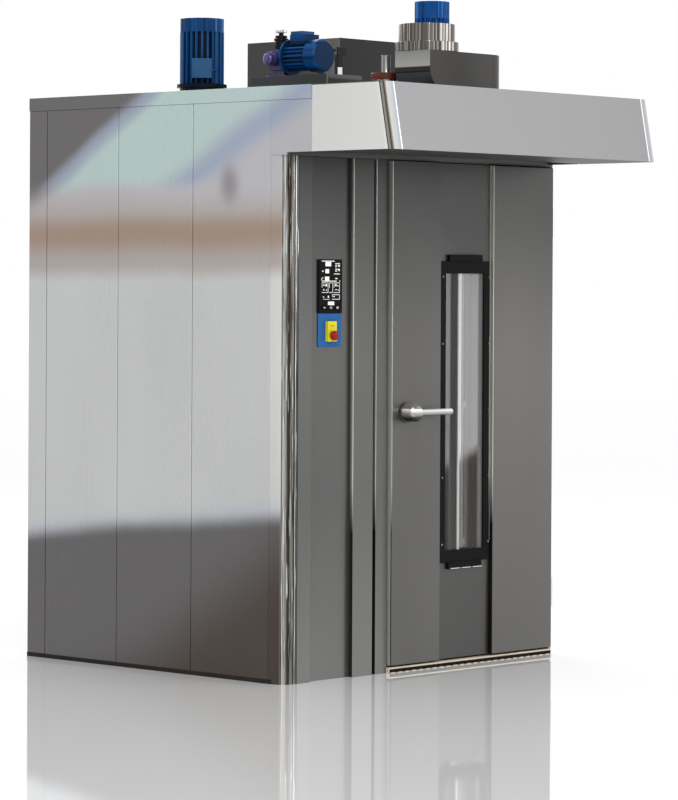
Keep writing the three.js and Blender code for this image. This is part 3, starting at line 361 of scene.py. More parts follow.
def onFront(zones, floorLight):
    def tones(place, plain):
        f = frontTones
        x, y, z = (axisOf(place, axis) for axis in "XYZ")
        low, high, share = f["underCanopy"]
        tone = scaled(plain, ranged(z, low * mm, high * mm, 1.0, share, "SMOOTHSTEP"))
        if floorLight:
            high, low, share = f["nearFloor"]
            tone = scaled(tone, ranged(z, high * mm, low * mm, 1.0, share))
        low, high = f["zoneSpan"]
        for start, end, foot, head in f[zones]:
            inside = between(x, *onAxis("X", start, end))
            share = ranged(z, low * mm, high * mm, foot, head)
            tone = blended(inside, tone, scaled(tone, share))
        low, high = f["edgeTurn"]
        height = ranged(z, low * mm, high * mm)
        lit = rampOf(height, [(0.0, f["edgeDark"]), (1.0, f["edgeLight"])])
        near, far, deep = f["edgeDepths"]
        behind = ranged(y, *onAxis("Y", near, far))
        edges = {"bright": blended(behind, lit, deep), "dull": f["edgeDull"]}
        for at, near, far, kind in f["edges"]:
            onEdge = maths("COMPARE", x, *onAxis("X", at), f["edgeWidth"] * mm)
            inReach = between(y, *onAxis("Y", near, far))
            tone = blended(times([onEdge, inReach]), tone, edges[kind])
        return tone
    return tones


# Polished corner column: painted reflections, upright streaks of light and dark that waver a little along
# their length, with broken painted highlight and dark lines.
columnTones = {
    "from": -15, "to": 78,  # millimetres across the turned corner, from the side to the front
    # between the wall ends the wall's painted reflection takes over
    "wallEnds": (-13, -17),  # between these the wall's own tones take over
    "streaks": [  # seam, lit side, dark room, lit floor, bright lamp line, dark edge
        (0.04, "#4c4944"), (0.08, "#b0b0ae"), (0.24, "#9c9a96"), (0.38, "#43372f"), (0.5, "#2b2520"),
        (0.56, "#75746e"), (0.7, "#7a7a74"), (0.74, "#2a292c"), (0.8, "#2a292c"), (0.815, "#b4b4b4"),
        (0.85, "#b4b4b4"), (0.865, "#2e2e32"), (0.93, "#58585b"), (1.0, "#1a1918")],
    "waver": 0.06, "waverRate": 7.0,
    "lineSize": (4.5, 260),  # how wide and tall the broken lines are
    "lines": [(0.44, 0.39, "#1b1917"), (0.64, 0.68, "#f4f4f4")],
}


def onColumn(place, plain):
    t = columnTones
    x, y, z = (axisOf(place, axis) for axis in "XYZ")
    across = maths("SUBTRACT", x, y)
    start = frontLeft.x - frontLeft.y
    at = ranged(across, start + t["from"] * mm, start + t["to"] * mm)
    noise = noiseOf(vectors("MULTIPLY", place, (0, 0, 1)), t["waverRate"], 3.0)["Fac"]
    wavered = maths("MULTIPLY_ADD", maths("SUBTRACT", noise, 0.5), t["waver"], at)
    tone = rampOf(wavered, t["streaks"])
    wide, tall = t["lineSize"]
    spot = addNode("ShaderNodeCombineXYZ", inputs={
        0: maths("MULTIPLY", across, 1 / (wide * mm)), 2: maths("MULTIPLY", z, 1 / (tall * mm)),
    }).outputs[0]
    broken = noiseOf(spot, 1.0, 2.0)["Fac"]
    for low, high, colour in t["lines"]:
        tone = blended(ranged(broken, low, high), tone, colour)
    onFlank = ranged(across, *(start + end * mm for end in t["wallEnds"]))
    return blended(onFlank, tone, onWall(place, plain))


def looks(columns, rows):
    return {name: dict(zip(columns, row)) for name, row in rows.items()}


# Round pieces: painted reflections, streaks of light and dark round their axis, as a bright room gives.
# Centres are plan points, the axis is the letter; streaks run along the axis. Between the recess's radii the
# enamel is painted dark as shade, up to a level on the axis, and painted dark as shade below the foot's
# level.
streakTones = looks(("end", "axis", "centre", "rate", "seed", "stops", "recess", "recessEnd", "footLevel"), {
    "bell": ("#8d8a86", "Z", (721, -84, 0), 5.5, 4.0, [
        (0.32, "#24211f"), (0.41, "#5f5a54"), (0.47, "#3c3936"), (0.51, "#7d7771"), (0.545, "#ece9e3"),
        (0.57, "#8f8b85"), (0.6, "#33302e"), (0.66, "#7f766e"), (0.72, "#2b2826")]),
    "pipe": ("#55524f", "Z", (640, 62, 0), 4.5, 9.0, [
        (0.35, "#1f1d1c"), (0.45, "#5c5955"), (0.52, "#b9b9b9"), (0.57, "#2c2a29"), (0.66, "#11100f")]),
    "fanMotor": ("#06284b", "Z", (300, 757, 0), 4.0, 2.0, [
        (0.36, "#04182d"), (0.46, "#083562"), (0.56, "#0a3c6e"), (0.62, "#3a70a8"), (0.66, "#0a3766"),
        (0.74, "#2a5c92")], (76, 84), 2555, 2347),
    "gearMotor": ("#06284b", "Y", (800, 0, 2482), 2.2, 5.0, [
        (0.36, "#041c38"), (0.48, "#083f76"), (0.58, "#0b4d8e"), (0.66, "#2172ba")], (51, 58), 608),
    "blowerMotor": ("#083260", "Z", (752, -84, 0), 4.0, 7.0, [
        (0.36, "#051b33"), (0.46, "#083e76"), (0.56, "#0d4a8e"), (0.62, "#3b7dbd"), (0.68, "#0b4383")],
        (50, 58), 2594),
})
streakRoughness = 0.62
# painted shade in the fin recesses and under the flanges of the motors
recessPaintedShade = "#03101d"
endFacing = 0.9  # a face that looks this much along the axis is an end


def roundAbout(name):
    look = streakTones[name]
    axis = look["axis"]

    def tones(place, plain):
        middle = vectors("SUBTRACT", place, plan(*look["centre"]))
        across = [axisOf(middle, letter) for letter in "XYZ" if letter != axis]
        flat = addNode("ShaderNodeCombineXYZ", inputs=dict(enumerate(across))).outputs[0]
        outwards = vectors("NORMALIZE", flat)
        noise = noiseOf(outwards, look["rate"], 3.0, streakRoughness, look["seed"])["Fac"]
        onEnd = maths("GREATER_THAN", maths("ABSOLUTE", facingOf(axis)), endFacing)
        tone = blended(onEnd, rampOf(noise, look["stops"]), look["end"])
        if "recess" not in look:
            return tone
        low, high = look["recess"]
        inwards = ranged(vectors("LENGTH", flat), high * mm, low * mm)
        spot = axisOf(place, axis)
        if axis == "Z":
            side = maths("LESS_THAN", spot, look["recessEnd"] * mm)
        else:
            side = maths("GREATER_THAN", spot, plan(0, look["recessEnd"], 0).y)
        tone = blended(times([inwards, side]), tone, recessPaintedShade)
        if "footLevel" in look:
            tone = blended(maths("LESS_THAN", spot, look["footLevel"] * mm), tone, recessPaintedShade)
        return tone
    return tones


# Roof boxes: each side has its own painted light and shade along one axis, with painted highlight lines at
# some edges; (axis, from, to, stops) in millimetres
sideTones = {
    "scroll": {
        "left": ("Z", 2300, 2465, [
            (0.0, "#36393d"), (0.44, "#3f4246"), (0.47, "#0d0b0a"), (0.5, "#362e28"), (0.58, "#2c2622"),
            (0.61, "#a5a5a3"), (1.0, "#868684")]),
        "front": ("X", 600, 1102, [
            (0.0, "#363432"), (0.35, "#302f2d"), (0.6, "#3a3937"), (0.84, "#403e3b"), (0.87, "#77756f"),
            (0.95, "#6a675f"), (0.965, "#26221e"), (1.0, "#85837c")])},
    "flue": {
        "left": ("Y", 1360, 810, [(0.0, "#454443"), (0.6, "#4a4947"), (0.85, "#5f5b55"), (1.0, "#6a655e")]),
        "front": ("X", 1180, 1560, [(0.0, "#252525"), (1.0, "#2b2b2b")])},
    "stand": {
        "left": ("Y", 870, 433, [(0.0, "#3a3e3d"), (0.98, "#3f4342"), (1.0, "#8a8a88")]),
        "front": ("Z", 2300, 2398, [
            (0.0, "#262626"), (0.8, "#2b2b2b"), (0.84, "#4d4d4d"), (1.0, "#565656")])},
}
sideTurn = (-0.5, -0.8)  # a face turns into the side named between these parts of its normal


def bySide(name):
    def tones(place, plain):
        tone = plain
        for side, facing in (("front", "Y"), ("left", "X")):
            axis, start, end, stops = sideTones[name][side]
            share = ranged(axisOf(place, axis), *onAxis(axis, start, end))
            towards = ranged(facingOf(facing), *sideTurn)
            tone = blended(towards, tone, rampOf(share, stops))
        return tone
    return tones


# Canopy front: painted shade on a folded flange at the corner, a painted highlight on the rounded corner,
# then the satin sheet.
# Stops are shares of the reach from each side.
canopyTones = {"width": 1620, "reach": 70, "ends": 0.84, "stops": [
    (0.03, "#4f4c46"), (0.06, "#2d2a26"), (0.1, "#75726a"), (0.155, "#6c6960"), (0.175, "#1a1816"),
    (0.205, "#1a1816"), (0.24, "#7d7a73"), (0.3, "#c4c1ba"), (0.42, "#b9b8b5"), (0.55, "#a7abb0"),
    (0.7, "#939ca8"), (0.755, "#a8b0ba"), (0.765, "#f4f4f4"), (0.785, "#f4f4f4")]}


def onCanopy(place, plain):
    t = canopyTones
    half = t["width"] / 2
    off = maths("ABSOLUTE", maths("SUBTRACT", axisOf(place, "X"), *onAxis("X", half)))
    share = ranged(off, half * mm, (half - t["reach"]) * mm)
    inCorner = maths("LESS_THAN", share, t["ends"])
    return blended(inCorner, plain, rampOf(share, t["stops"]))


# Handle: painted light on the facets above, painted shade on those below, and a painted highlight on the rod
# between; shares of its height
leverTones = {"levels": (989, 1073), "footFrom": -27.5, "foot": "#4c4945", "stops": [
    (0.05, "#202325"), (0.3, "#3b3835"), (0.34, "#6f6d6d"), (0.5, "#b5b5b5"), (0.6, "#f6f6f6"),
    (0.66, "#ffffff"), (0.7, "#8b887f"), (1.0, "#b2b0a4")]}


def onLever(place, plain):
    t = leverTones
    share = ranged(axisOf(place, "Z"), *(level * mm for level in t["levels"]))
    onFoot = maths("GREATER_THAN", axisOf(place, "Y"), *onAxis("Y", t["footFrom"]))
    return blended(onFoot, rampOf(share, t["stops"]), t["foot"])


# sideSteel, wallSteel and canopySideSteel are lighter copies, and frontSteel, doorSteel, headerSteel and
# canopySteel darker copies, of the same stainless sheet: painted light on the sides, painted shade on the
# front faces
steelLooks = looks(("light", "dark", "roughness", "metallic", "grain", "along", "bump", "tones"), {
    "sideSteel": ("#cfd1d1", "#bcbebe", 0.3, 0.75, 1.2, "Z", 0.1),
    "wallSteel": ("#c5c6c6", "#b7b9b8", 0.28, 0.6, 1.2, "Z", 0.08, onWall),
    "frontSteel": ("#686867", "#5c5c5b", 0.36, 0.8, 1.2, "Z", 0.12, onFront("bodyZones", True)),
    "doorSteel": ("#696867", "#5d5c5b", 0.36, 0.8, 1.2, "Z", 0.12, onFront("doorZones", False)),
    "headerSteel": ("#555555", "#484848", 0.4, 0.7, 1.2, "X", 0.1, onWall),
    "bellSteel": ("#e6e6e4", "#b8b8b6", 0.22, 0.7, 0.8, "Z", 0.04, roundAbout("bell")),
    "pipeSteel": ("#e6e6e4", "#b8b8b6", 0.22, 0.7, 0.8, "Z", 0.04, roundAbout("pipe")),
    "canopySteel": ("#939394", "#88888a", 0.45, 0.4, 1.2, "X", 0.1, onCanopy),
    "canopySideSteel": ("#d4d4d2", "#cacac8", 0.4, 0.5, 1.2, "Z", 0.1),
    "columnSteel": ("#e6e6e4", "#b8b8b6", 0.2, 0.75, 0.8, "Z", 0.04, onColumn),
    "polishedSteel": ("#e6e6e4", "#b8b8b6", 0.12, 1.0, 0.8, "Z", 0.05),
    "leverSteel": ("#e6e6e4", "#b8b8b6", 0.25, 0.55, 0.8, "X", 0.04, onLever),
    "chamberSteel": ("#b4b4b2", "#8f8f8d", 0.32, 0.9, 1.5, "Z", 0.15),
    "ductSteel": ("#4f4e4c", "#3e3d3b", 0.45, 0.75, 2.5, "Z", 0.2),
    "scrollSteel": ("#4f4e4c", "#3e3d3b", 0.42, 0.7, 2.5, "Z", 0.15, bySide("scroll")),
    "flueSteel": ("#4f4e4c", "#3e3d3b", 0.5, 0.7, 2.5, "Z", 0.15, bySide("flue")),
    "standSteel": ("#5a5a58", "#4b4b49", 0.5, 0.7, 2.5, "Z", 0.15, bySide("stand")),
})
paintLooks = looks(("light", "dark", "roughness", "peel", "bump", "shine", "coat", "tones"), {
    "fanEnamel": ("#0f4a86", "#093763", 0.34, 1.5, 0.2, 0.08, 0.0, roundAbout("fanMotor")),
    "gearMotorEnamel": ("#0f4a86", "#093763", 0.34, 1.5, 0.2, 0.08, 0.0, roundAbout("gearMotor")),
    "blowerEnamel": ("#0f4a86", "#093763", 0.34, 1.5, 0.2, 0.08, 0.0, roundAbout("blowerMotor")),
    "lidEnamel": ("#26507a", "#1e4268", 0.45, 1.5, 0.1, 0.15),
    # domeEnamel is a lighter copy of the gearbox's enamel: painted light on the dome
    "domeEnamel": ("#4f4784", "#383063", 0.22, 1.5, 0.1, 0.3, 0.6),
    "gearEnamel": ("#443a78", "#221d3e", 0.3, 1.5, 0.25, 0.2, 0.25),
    "blackPowderCoat": ("#151516", "#0f0f10", 0.5, 0.9, 0.2, 0.05),
    "keypadFoil": ("#121213", "#0c0c0d", 0.5, 0.9, 0.1, 0.06),
    "siliconeSeal": ("#2b2624", "#1c1816", 0.75, 1.2, 0.3, 0.15),
    "bluePlatePaint": ("#215f9e", "#1b5590", 0.42, 1.0, 0.15, 0.15),
    "yellowAbs": ("#e0d522", "#cdc010", 0.4, 0.8, 0.1),
    "redAbs": ("#a81010", "#860808", 0.32, 0.8, 0.08, 0.2),
    "keyPlastic": ("#f6f6f2", "#ebebe6", 0.45, 0.6, 0.1),
    "sillPaint": ("#d9cdb9", "#c4b69f", 0.55, 1.5, 0.2),
    "castIron": ("#3a3a39", "#232322", 0.7, 1.8, 0.5, 0.2),
    "blackenedSteel": ("#1a1a1b", "#0c0c0d", 0.45, 1.0, 0.3, 0.15),
    "dullZinc": ("#8b8a86", "#6d6c69", 0.4, 1.0, 0.1),
    "copperSleeve": ("#662611", "#43180a", 0.4, 1.2, 0.2, 0.3),
})
finishes = {name: brushedSteel(name, look) for name, look in steelLooks.items()}
finishes.update({name: paintedMetal(name, look) for name, look in paintLooks.items()})


# Tempered panes. The outer one has a painted reflection of the room: soft upright bands, bright above and
# dark below a level that rises to the right, and a white band painted for the lamp behind it; stops are
# shares across the visible pane.
glassTones = {
    "across": (934, 1171), "turn": ((934, 800), (1171, 880), 80),
    "above": [(0.0, "#a0a0a0"), (0.15, "#a0a0a0"), (0.17, "#4c4c4c"), (0.35, "#4a4a4e"), (0.362, "#1c2a42"),
              (0.375, "#ffffff"), (0.44, "#ffffff"), (0.452, "#9a9a9a"), (0.6, "#b0b0b0"), (0.75, "#c0c0c0"),
              (0.885, "#c0c0c0"), (0.9, "#898989")],
    "below": [(0.0, "#484440"), (0.13, "#484440"), (0.15, "#7d7d7d"), (0.17, "#565656"), (0.34, "#4a4a4a"),
              (0.355, "#20242a"), (0.366, "#ffffff"), (0.405, "#ffffff"), (0.42, "#3a3632"), (0.6, "#46413d"),
              (0.885, "#4c4743"), (0.9, "#898989")],
    "plain": [(0.0, "#2a3032"), (1.0, "#232829")],
    "streakScale": (40, 40, 3), "roughness": (0.02, 0.08),
}


def temperedGlass(name, alpha, banded):
    material, shader, place = newMaterial(name, {
        "IOR": 1.5, "Alpha": alpha, "Specular IOR Level": 0.2,
    })
    g = glassTones
    share = ranged(axisOf(place, "X"), *onAxis("X", *g["across"]))
    if banded:
        above = acrossLine(place, g["turn"], (0, 2))
        tone = blended(above, rampOf(share, g["below"]), rampOf(share, g["above"]))
    else:
        tone = rampOf(share, g["plain"])
    streak = noiseOf(stretched(place, g["streakScale"]), 1.0, 3.0)["Fac"]
    fill(shader, {"Base Color": tone, "Roughness": ranged(streak, 0.0, 1.0, *g["roughness"])})
    return material


def opalTube():
    # Opal glass lamp tube, lit: white with a faintly warmer middle.
    material, shader, place = newMaterial("opalTube", {"Emission Strength": 0.6, "Roughness": 0.3})
    patch = noiseOf(place, 12.0, 2.0)["Fac"]
    tone = rampOf(patch, list(zip(patchSpan, ("#fff6ea", "#ffffff"))))
    fill(shader, {"Base Color": tone, "Emission Color": tone})
    return material


finishes["opalTube"] = opalTube()
finishes["outerPane"] = temperedGlass("outerPane", 0.42, True)
finishes["innerPane"] = temperedGlass("innerPane", 0.12, False)
print("materials made:", len(finishes))


# Each finish with its nodes, and the width of a node's softened edges in millimetres if it has any
nodesOfFinish = {
    "wallSteel": "left_panel_front 1.5, left_panel_middle 1.5, left_panel_rear 1.5, roof_deck 1.5, "
                 "canopy_roof 0.5, rear_wall 1.5",
    "headerSteel": "front_header 1.5",
    "sideSteel": "right_wall 1.5",
    "canopySideSteel": "canopy_left_side 0.8, canopy_right_side 0.8",
    "canopySteel": "canopy_cover 1",
    "frontSteel": "control_fascia 1.5, door_jamb 0.3, jamb_trim 0.3, door_stop, hinge_post 2",
    "doorSteel": "door_core 1.5, door_left_skin 2.5, door_right_skin 2.5",
    "columnSteel": "corner_column 0.6",
    "polishedSteel": "hinge_bottom_bracket, hinge_top_bracket, hinge_bottom_leaf, hinge_top_leaf, "
                     "latch_tongue",
    "leverSteel": "handle_lever 1.2",
    "bellSteel": "blower_bell 2",
    "pipeSteel": "steam_pipe 1",
    "chamberSteel": "floor_pan, ceiling_panel, air_wall, fan_wheel, rack_hook, blower_wheel",
    "ductSteel": "canopy_gutter 1, blower_base 1",
    "scrollSteel": "blower_scroll 1.5",
    "flueSteel": "flue_box 2",
    "standSteel": "drive_stand 2",
    "fanEnamel": "fan_motor 0.8",
    "gearMotorEnamel": "gear_motor 1",
    "blowerEnamel": "blower_motor 0.8",
    "gearEnamel": "gearbox 3",
    "blackPowderCoat": "window_frame 2",
    "keypadFoil": "keypad_panel 1.5, key_start 0.8, key_light 0.8, key_steam 0.8",
    "siliconeSeal": "door_gasket",
    "outerPane": "outer_glass",
    "innerPane": "inner_glass",
    "bluePlatePaint": "switch_plate 0.8",
    "yellowAbs": "stop_box 2.5",
    "redAbs": "stop_button",
    "sillPaint": "threshold 1.5",
    "castIron": "heater_bank, steam_cascade",
    "blackenedSteel": "drive_sprocket, drive_chain",
    "opalTube": "lamp_tube",
}
sheetAngle, turnedAngle = 35, 30  # degrees; sharper edges are softened
flatAngle = 0.5  # degrees; flatter edges are dissolved
weldReach = 1e-6  # metres


def paint(target, material):
    target.data.materials.clear()
    target.data.materials.append(material)


def bakeModifiers(piece):
    graph = bpy.context.evaluated_depsgraph_get()
    made = bpy.data.meshes.new_from_object(piece.evaluated_get(graph))
    piece.modifiers.clear()
    piece.data = made


def smoothed(mesh, angle):
    mesh.polygons.foreach_set("use_smooth", [True] * len(mesh.polygons))
    mesh.set_sharp_from_angle(angle=math.radians(angle))


def softened(piece, width, angle=sheetAngle):
    edge = piece.modifiers.new("softEdges", "BEVEL")
    edge.width, edge.segments = width * mm, 2
    edge.limit_method, edge.angle_limit = "ANGLE", math.radians(angle)
    edge.harden_normals = True
    smoothed(piece.data, angle)
    bakeModifiers(piece)


def merge(mesh, isFromCad):
    # doubled points merged; then flat edges dissolved, or on a new mesh the faces turned outwards
    work = bmesh.new()
    work.from_mesh(mesh)
    bmesh.ops.remove_doubles(work, verts=work.verts, dist=weldReach)
    if isFromCad:
        flat = math.radians(flatAngle)
        bmesh.ops.dissolve_limit(work, angle_limit=flat, verts=work.verts, edges=work.edges)
    else:
        bmesh.ops.recalc_face_normals(work, faces=work.faces)
    work.to_mesh(mesh)
    work.free()


def bevelled(node, material, width):
    # a merged copy of a CAD node with softened edges, which stands for it
    mesh = nodes[node].data.copy()
    merge(mesh, True)
    piece = newObject(node + "_finished", mesh)
    softened(piece, width)
    paint(piece, material)
    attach(piece, bodyOfNode[node])
    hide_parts(node)


for finishName, members in nodesOfFinish.items():
    for member in members.split(", "):
        node, *width = member.split()
        if width:
            bevelled(node, finishes[finishName], float(width[0]))
        else:
            paint(nodes[node], finishes[finishName])
print("CAD nodes finished:", len(nodes))


# Small pieces that repeat are grown by Geometry Nodes on a mesh of points: one tree for turned heads
# such as screws and studs, one for bars such as slats, teeth and marks.
def newTree(name, sockets):
    building["tree"] = tree = bpy.data.node_groups.new(name, "GeometryNodeTree")
    tree.is_modifier = True
    tree.interface.new_socket("Geometry", in_out="OUTPUT", socket_type="NodeSocketGeometry")
    tree.interface.new_socket("Places", in_out="INPUT", socket_type="NodeSocketGeometry")
    for label, kind in sockets.items():
        tree.interface.new_socket(label, in_out="INPUT", socket_type="NodeSocket" + kind)
    start = addNode("NodeGroupInput").outputs
    return tree, start


def closeTree(start, shape, turn, size):
    # copies of the shape on every point, made real and given their material
    copies = addNode("GeometryNodeInstanceOnPoints", inputs={
        "Points": start["Places"], "Instance": shape, "Rotation": turn, "Scale": size,
    }).outputs[0]
    real = addNode("GeometryNodeRealizeInstances", inputs={0: copies}).outputs[0]
    done = addNode("GeometryNodeSetMaterial", inputs={
        "Geometry": real, "Material": start["Finish"],
    }).outputs[0]
    addNode("NodeGroupOutput", inputs={0: done})


crownShare = {"radius": 0.62, "height": 0.5}  # of the drum under it


def headTree():
    # a low turned head: a drum with a narrower drum on it
    tree, start = newTree("turnedHeads", {
        "Radius": "Float", "Height": "Float", "Sides": "Int", "Facing": "Vector", "Finish": "Material",
    })

    def drum(radius, depth):
        return addNode("GeometryNodeMeshCylinder", {"fill_type": "NGON"}, {
            "Vertices": start["Sides"], "Radius": radius, "Depth": depth,
        }).outputs["Mesh"]

    rise = maths("MULTIPLY", start["Height"], crownShare["height"])
    crown = drum(maths("MULTIPLY", start["Radius"], crownShare["radius"]), rise)
    lift = addNode("ShaderNodeCombineXYZ", inputs={"Z": rise}).outputs[0]
    raised = addNode("GeometryNodeTransform", inputs={"Geometry": crown, "Translation": lift}).outputs[0]
    joined = addNode("GeometryNodeJoinGeometry", inputs={0: drum(start["Radius"], start["Height"])})
    tree.links.new(raised, joined.inputs[0])
    closeTree(start, joined.outputs[0], start["Facing"], (1, 1, 1))
    return tree


def barTree():
    # a plain bar of the size stored on each point
    tree, start = newTree("barsOnPoints", {"Finish": "Material"})
    size = addNode("GeometryNodeInputNamedAttribute", {"data_type": "FLOAT_VECTOR"}, {"Name": "size"})
    cube = addNode("GeometryNodeMeshCube", inputs={"Size": (1, 1, 1)}).outputs["Mesh"]
    closeTree(start, cube, (0, 0, 0), size.outputs[0])
    return tree


trees = {"heads": headTree(), "bars": barTree()}


def meshObject(name, vertices, faces=()):
    mesh = bpy.data.meshes.new(name)
    mesh.from_pydata([tuple(v) for v in vertices], [], [tuple(f) for f in faces])
    return newObject(name, mesh)


def settle(piece, body, replaced=()):
    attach(piece, body)
    if replaced:
        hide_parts(*replaced)


def grown(name, tree, places, settings, finish, body, sizes=None):
    piece = meshObject(name, places)
    if sizes:
        attribute = piece.data.attributes.new("size", "FLOAT_VECTOR", "POINT")
        attribute.data.foreach_set("vector", [c for size in sizes for c in size])
    modifier = piece.modifiers.new(tree, "NODES")
    modifier.node_group = trees[tree]
    sockets = {i.name: i.identifier for i in trees[tree].interface.items_tree if i.in_out == "INPUT"}
    for label, value in {**settings, "Finish": finishes[finish]}.items():
        modifier[sockets[label]] = value
    bakeModifiers(piece)
    settle(piece, body)


towardsFront = (math.pi / 2, 0, 0)  # a head's axis turned to -Y
towardsLeft = (0, -math.pi / 2, 0)
upwards = (0, 0, 0)


def screws(name, spots, head, facing, finish, body="body"):
    # a head is its (radius, thickness, number of sides)
    radius, thick, sides = head
    grown(name, "heads", [plan(*spot) for spot in spots], {
        "Radius": radius * mm, "Height": thick * mm, "Sides": sides, "Facing": facing,
    }, finish, body)


def bars(name, boxes, finish, body="body"):
    # each box is (x0, x1, y0, y1, z0, z1) in millimetres on the plan
    middles = [plan((b[0] + b[1]) / 2, (b[2] + b[3]) / 2, (b[4] + b[5]) / 2) for b in boxes]
    sizes = [((b[1] - b[0]) * mm, (b[3] - b[2]) * mm, (b[5] - b[4]) * mm) for b in boxes]
    grown(name, "bars", middles, {}, finish, body, sizes)


def solid(name, vertices, faces, bevel, angle, finish, body, replaced=()):
    # a closed mesh with its edges softened
    piece = meshObject(name, vertices, faces)
    merge(piece.data, False)
    if bevel:
        softened(piece, bevel, angle)
    else:
        smoothed(piece.data, angle)
    paint(piece, finishes[finish])
    settle(piece, body, replaced)


def slab(name, outline, levels, finish, bevel, axis="Z"):
    # an outline of plan points given a thickness along one axis, with softened edges
    ends = [plan(a, b, level) if axis == "Z" else plan(a, level, b)
            for level in levels for a, b in outline]
    n = len(outline)
    faces = [tuple(range(n))[::-1], tuple(range(n, 2 * n))]
    faces += [(i, (i + 1) % n, (i + 1) % n + n, i + n) for i in range(n)]
    solid(name, ends, faces, bevel, sheetAngle, finish, "body")


def turned(name, profile, centre, finish, body="body", axis="Z", sides=48, bevel=0.0, replaced=()):
    # a profile of (radius, height) pairs turned about an axis through a plan point
    vertices, faces = [], []
    for radius, height in profile:
        for i in range(sides):
            a = math.tau * i / sides
            offset = [radius * math.cos(a), radius * math.sin(a)]
            offset.insert("XYZ".index(axis), height)
            vertices.append(plan(*(c + o for c, o in zip(centre, offset))))
    rings = len(profile)
    for r in range(rings - 1):
        for i in range(sides):
            j = (i + 1) % sides
            faces.append((r * sides + i, r * sides + j, (r + 1) * sides + j, (r + 1) * sides + i))
    faces += [tuple(range(sides))[::-1], tuple(range((rings - 1) * sides, rings * sides))]
    solid(name, vertices, faces, bevel, turnedAngle, finish, body, replaced)


def depthOf(corner):
    # how far a corner of a frame box lies behind the casing's front, in millimetres
    return (corner.y - frontLeft.y) / mm


# Casing: dark sealing strips along the foot, and small screws in the roof band
casing = {"width": 1620, "depth": 1460, "bevel": 0.5,
          "strip": {"levels": (0.3, 17), "thickness": 1.6, "gap": 0.15, "leftStart": 62, "rightStart": 2},
          "bandScrews": {"height": 2276, "depths": (1448, 1052, 656, 300), "head": (5, 1.2, 10), "out": 0.6}}


def dressCasing():
    width, depth, strip, b = casing["width"], casing["depth"], casing["strip"], casing["bandScrews"]
    near, far = strip["gap"], strip["gap"] + strip["thickness"]
    left, right = strip["leftStart"], strip["rightStart"]
    for side, outline in (
        ("left", [(-far, left), (-near, left), (-near, depth), (-far, depth)]),
        ("right", [(width + near, right), (width + far, right), (width + far, depth), (width + near, depth)]),
        ("rear", [(0, depth + near), (width, depth + near), (width, depth + far), (0, depth + far)]),
    ):
        slab("foot_strip_" + side, outline, strip["levels"], "siliconeSeal", casing["bevel"])
    screws("band_screws_left", [(-b["out"], y, b["height"]) for y in b["depths"]], b["head"], towardsLeft,
           "blackenedSteel")


# Keypad: a bordered black foil with pale generic marks; each mark is (left, right, top, bottom) as
# shares of the foil, from its upper left corner
keypadFoil = {
    "left": 207, "top": 1636, "width": 131, "height": 210, "front": 13.7, "proud": 0.35, "sunk": 0.1,
    "marks": [
        (0.11, 0.67, 0.025, 0.04), (0.27, 0.52, 0.045, 0.13), (0.27, 0.43, 0.18, 0.26),
        (0.13, 0.19, 0.21, 0.23), (0.25, 0.44, 0.32, 0.4), (0.12, 0.76, 0.395, 0.412),
        (0.7, 0.9, 0.07, 0.085), (0.7, 0.78, 0.1, 0.115), (0.82, 0.9, 0.1, 0.135),
        (0.7, 0.76, 0.13, 0.145), (0.7, 0.9, 0.175, 0.19), (0.7, 0.78, 0.205, 0.225),
        (0.84, 0.9, 0.19, 0.215), (0.64, 0.9, 0.262, 0.277), (0.7, 0.8, 0.345, 0.365),
        (0.87, 0.92, 0.395, 0.41), (0.1, 0.13, 0.35, 0.39), (0.13, 0.18, 0.335, 0.35),
        # inside the frames
        (0.17, 0.24, 0.47, 0.49), (0.27, 0.35, 0.46, 0.5), (0.18, 0.22, 0.55, 0.58), (0.3, 0.35, 0.56, 0.58),
        (0.7, 0.76, 0.455, 0.5), (0.79, 0.84, 0.48, 0.5), (0.7, 0.78, 0.555, 0.57), (0.82, 0.86, 0.56, 0.58),
        (0.17, 0.22, 0.69, 0.71), (0.38, 0.43, 0.675, 0.715), (0.62, 0.68, 0.68, 0.7),
        (0.18, 0.46, 0.738, 0.745), (0.39, 0.66, 0.782, 0.85),
    ],
    "frames": [(0.12, 0.4, 0.43, 0.62), (0.44, 0.6, 0.43, 0.62), (0.64, 0.9, 0.43, 0.62),
               (0.57, 0.9, 0.65, 0.745)],
    "stroke": 0.0105, "uprightStroke": 1.6,  # the second is a share of the first
    "signs": {"key_start": [(-6, 6, -0.9, 0.9), (-0.9, 0.9, -4, 4)],
              "key_light": [(-6, 6, 2.4, 4), (-6, 6, -4, -2.4), (-6, -4.4, -4, 4), (4.4, 6, -4, 4)],
              "key_steam": [(-6, 6, 2.4, 4), (-6, 6, -0.8, 0.8), (-6, 6, -4, -2.4)]},
    "signDepths": (-0.25, 0.05),
    "rim": {"width": 2.0, "proud": 0.5, "inset": 0.4, "footInset": 1},
}


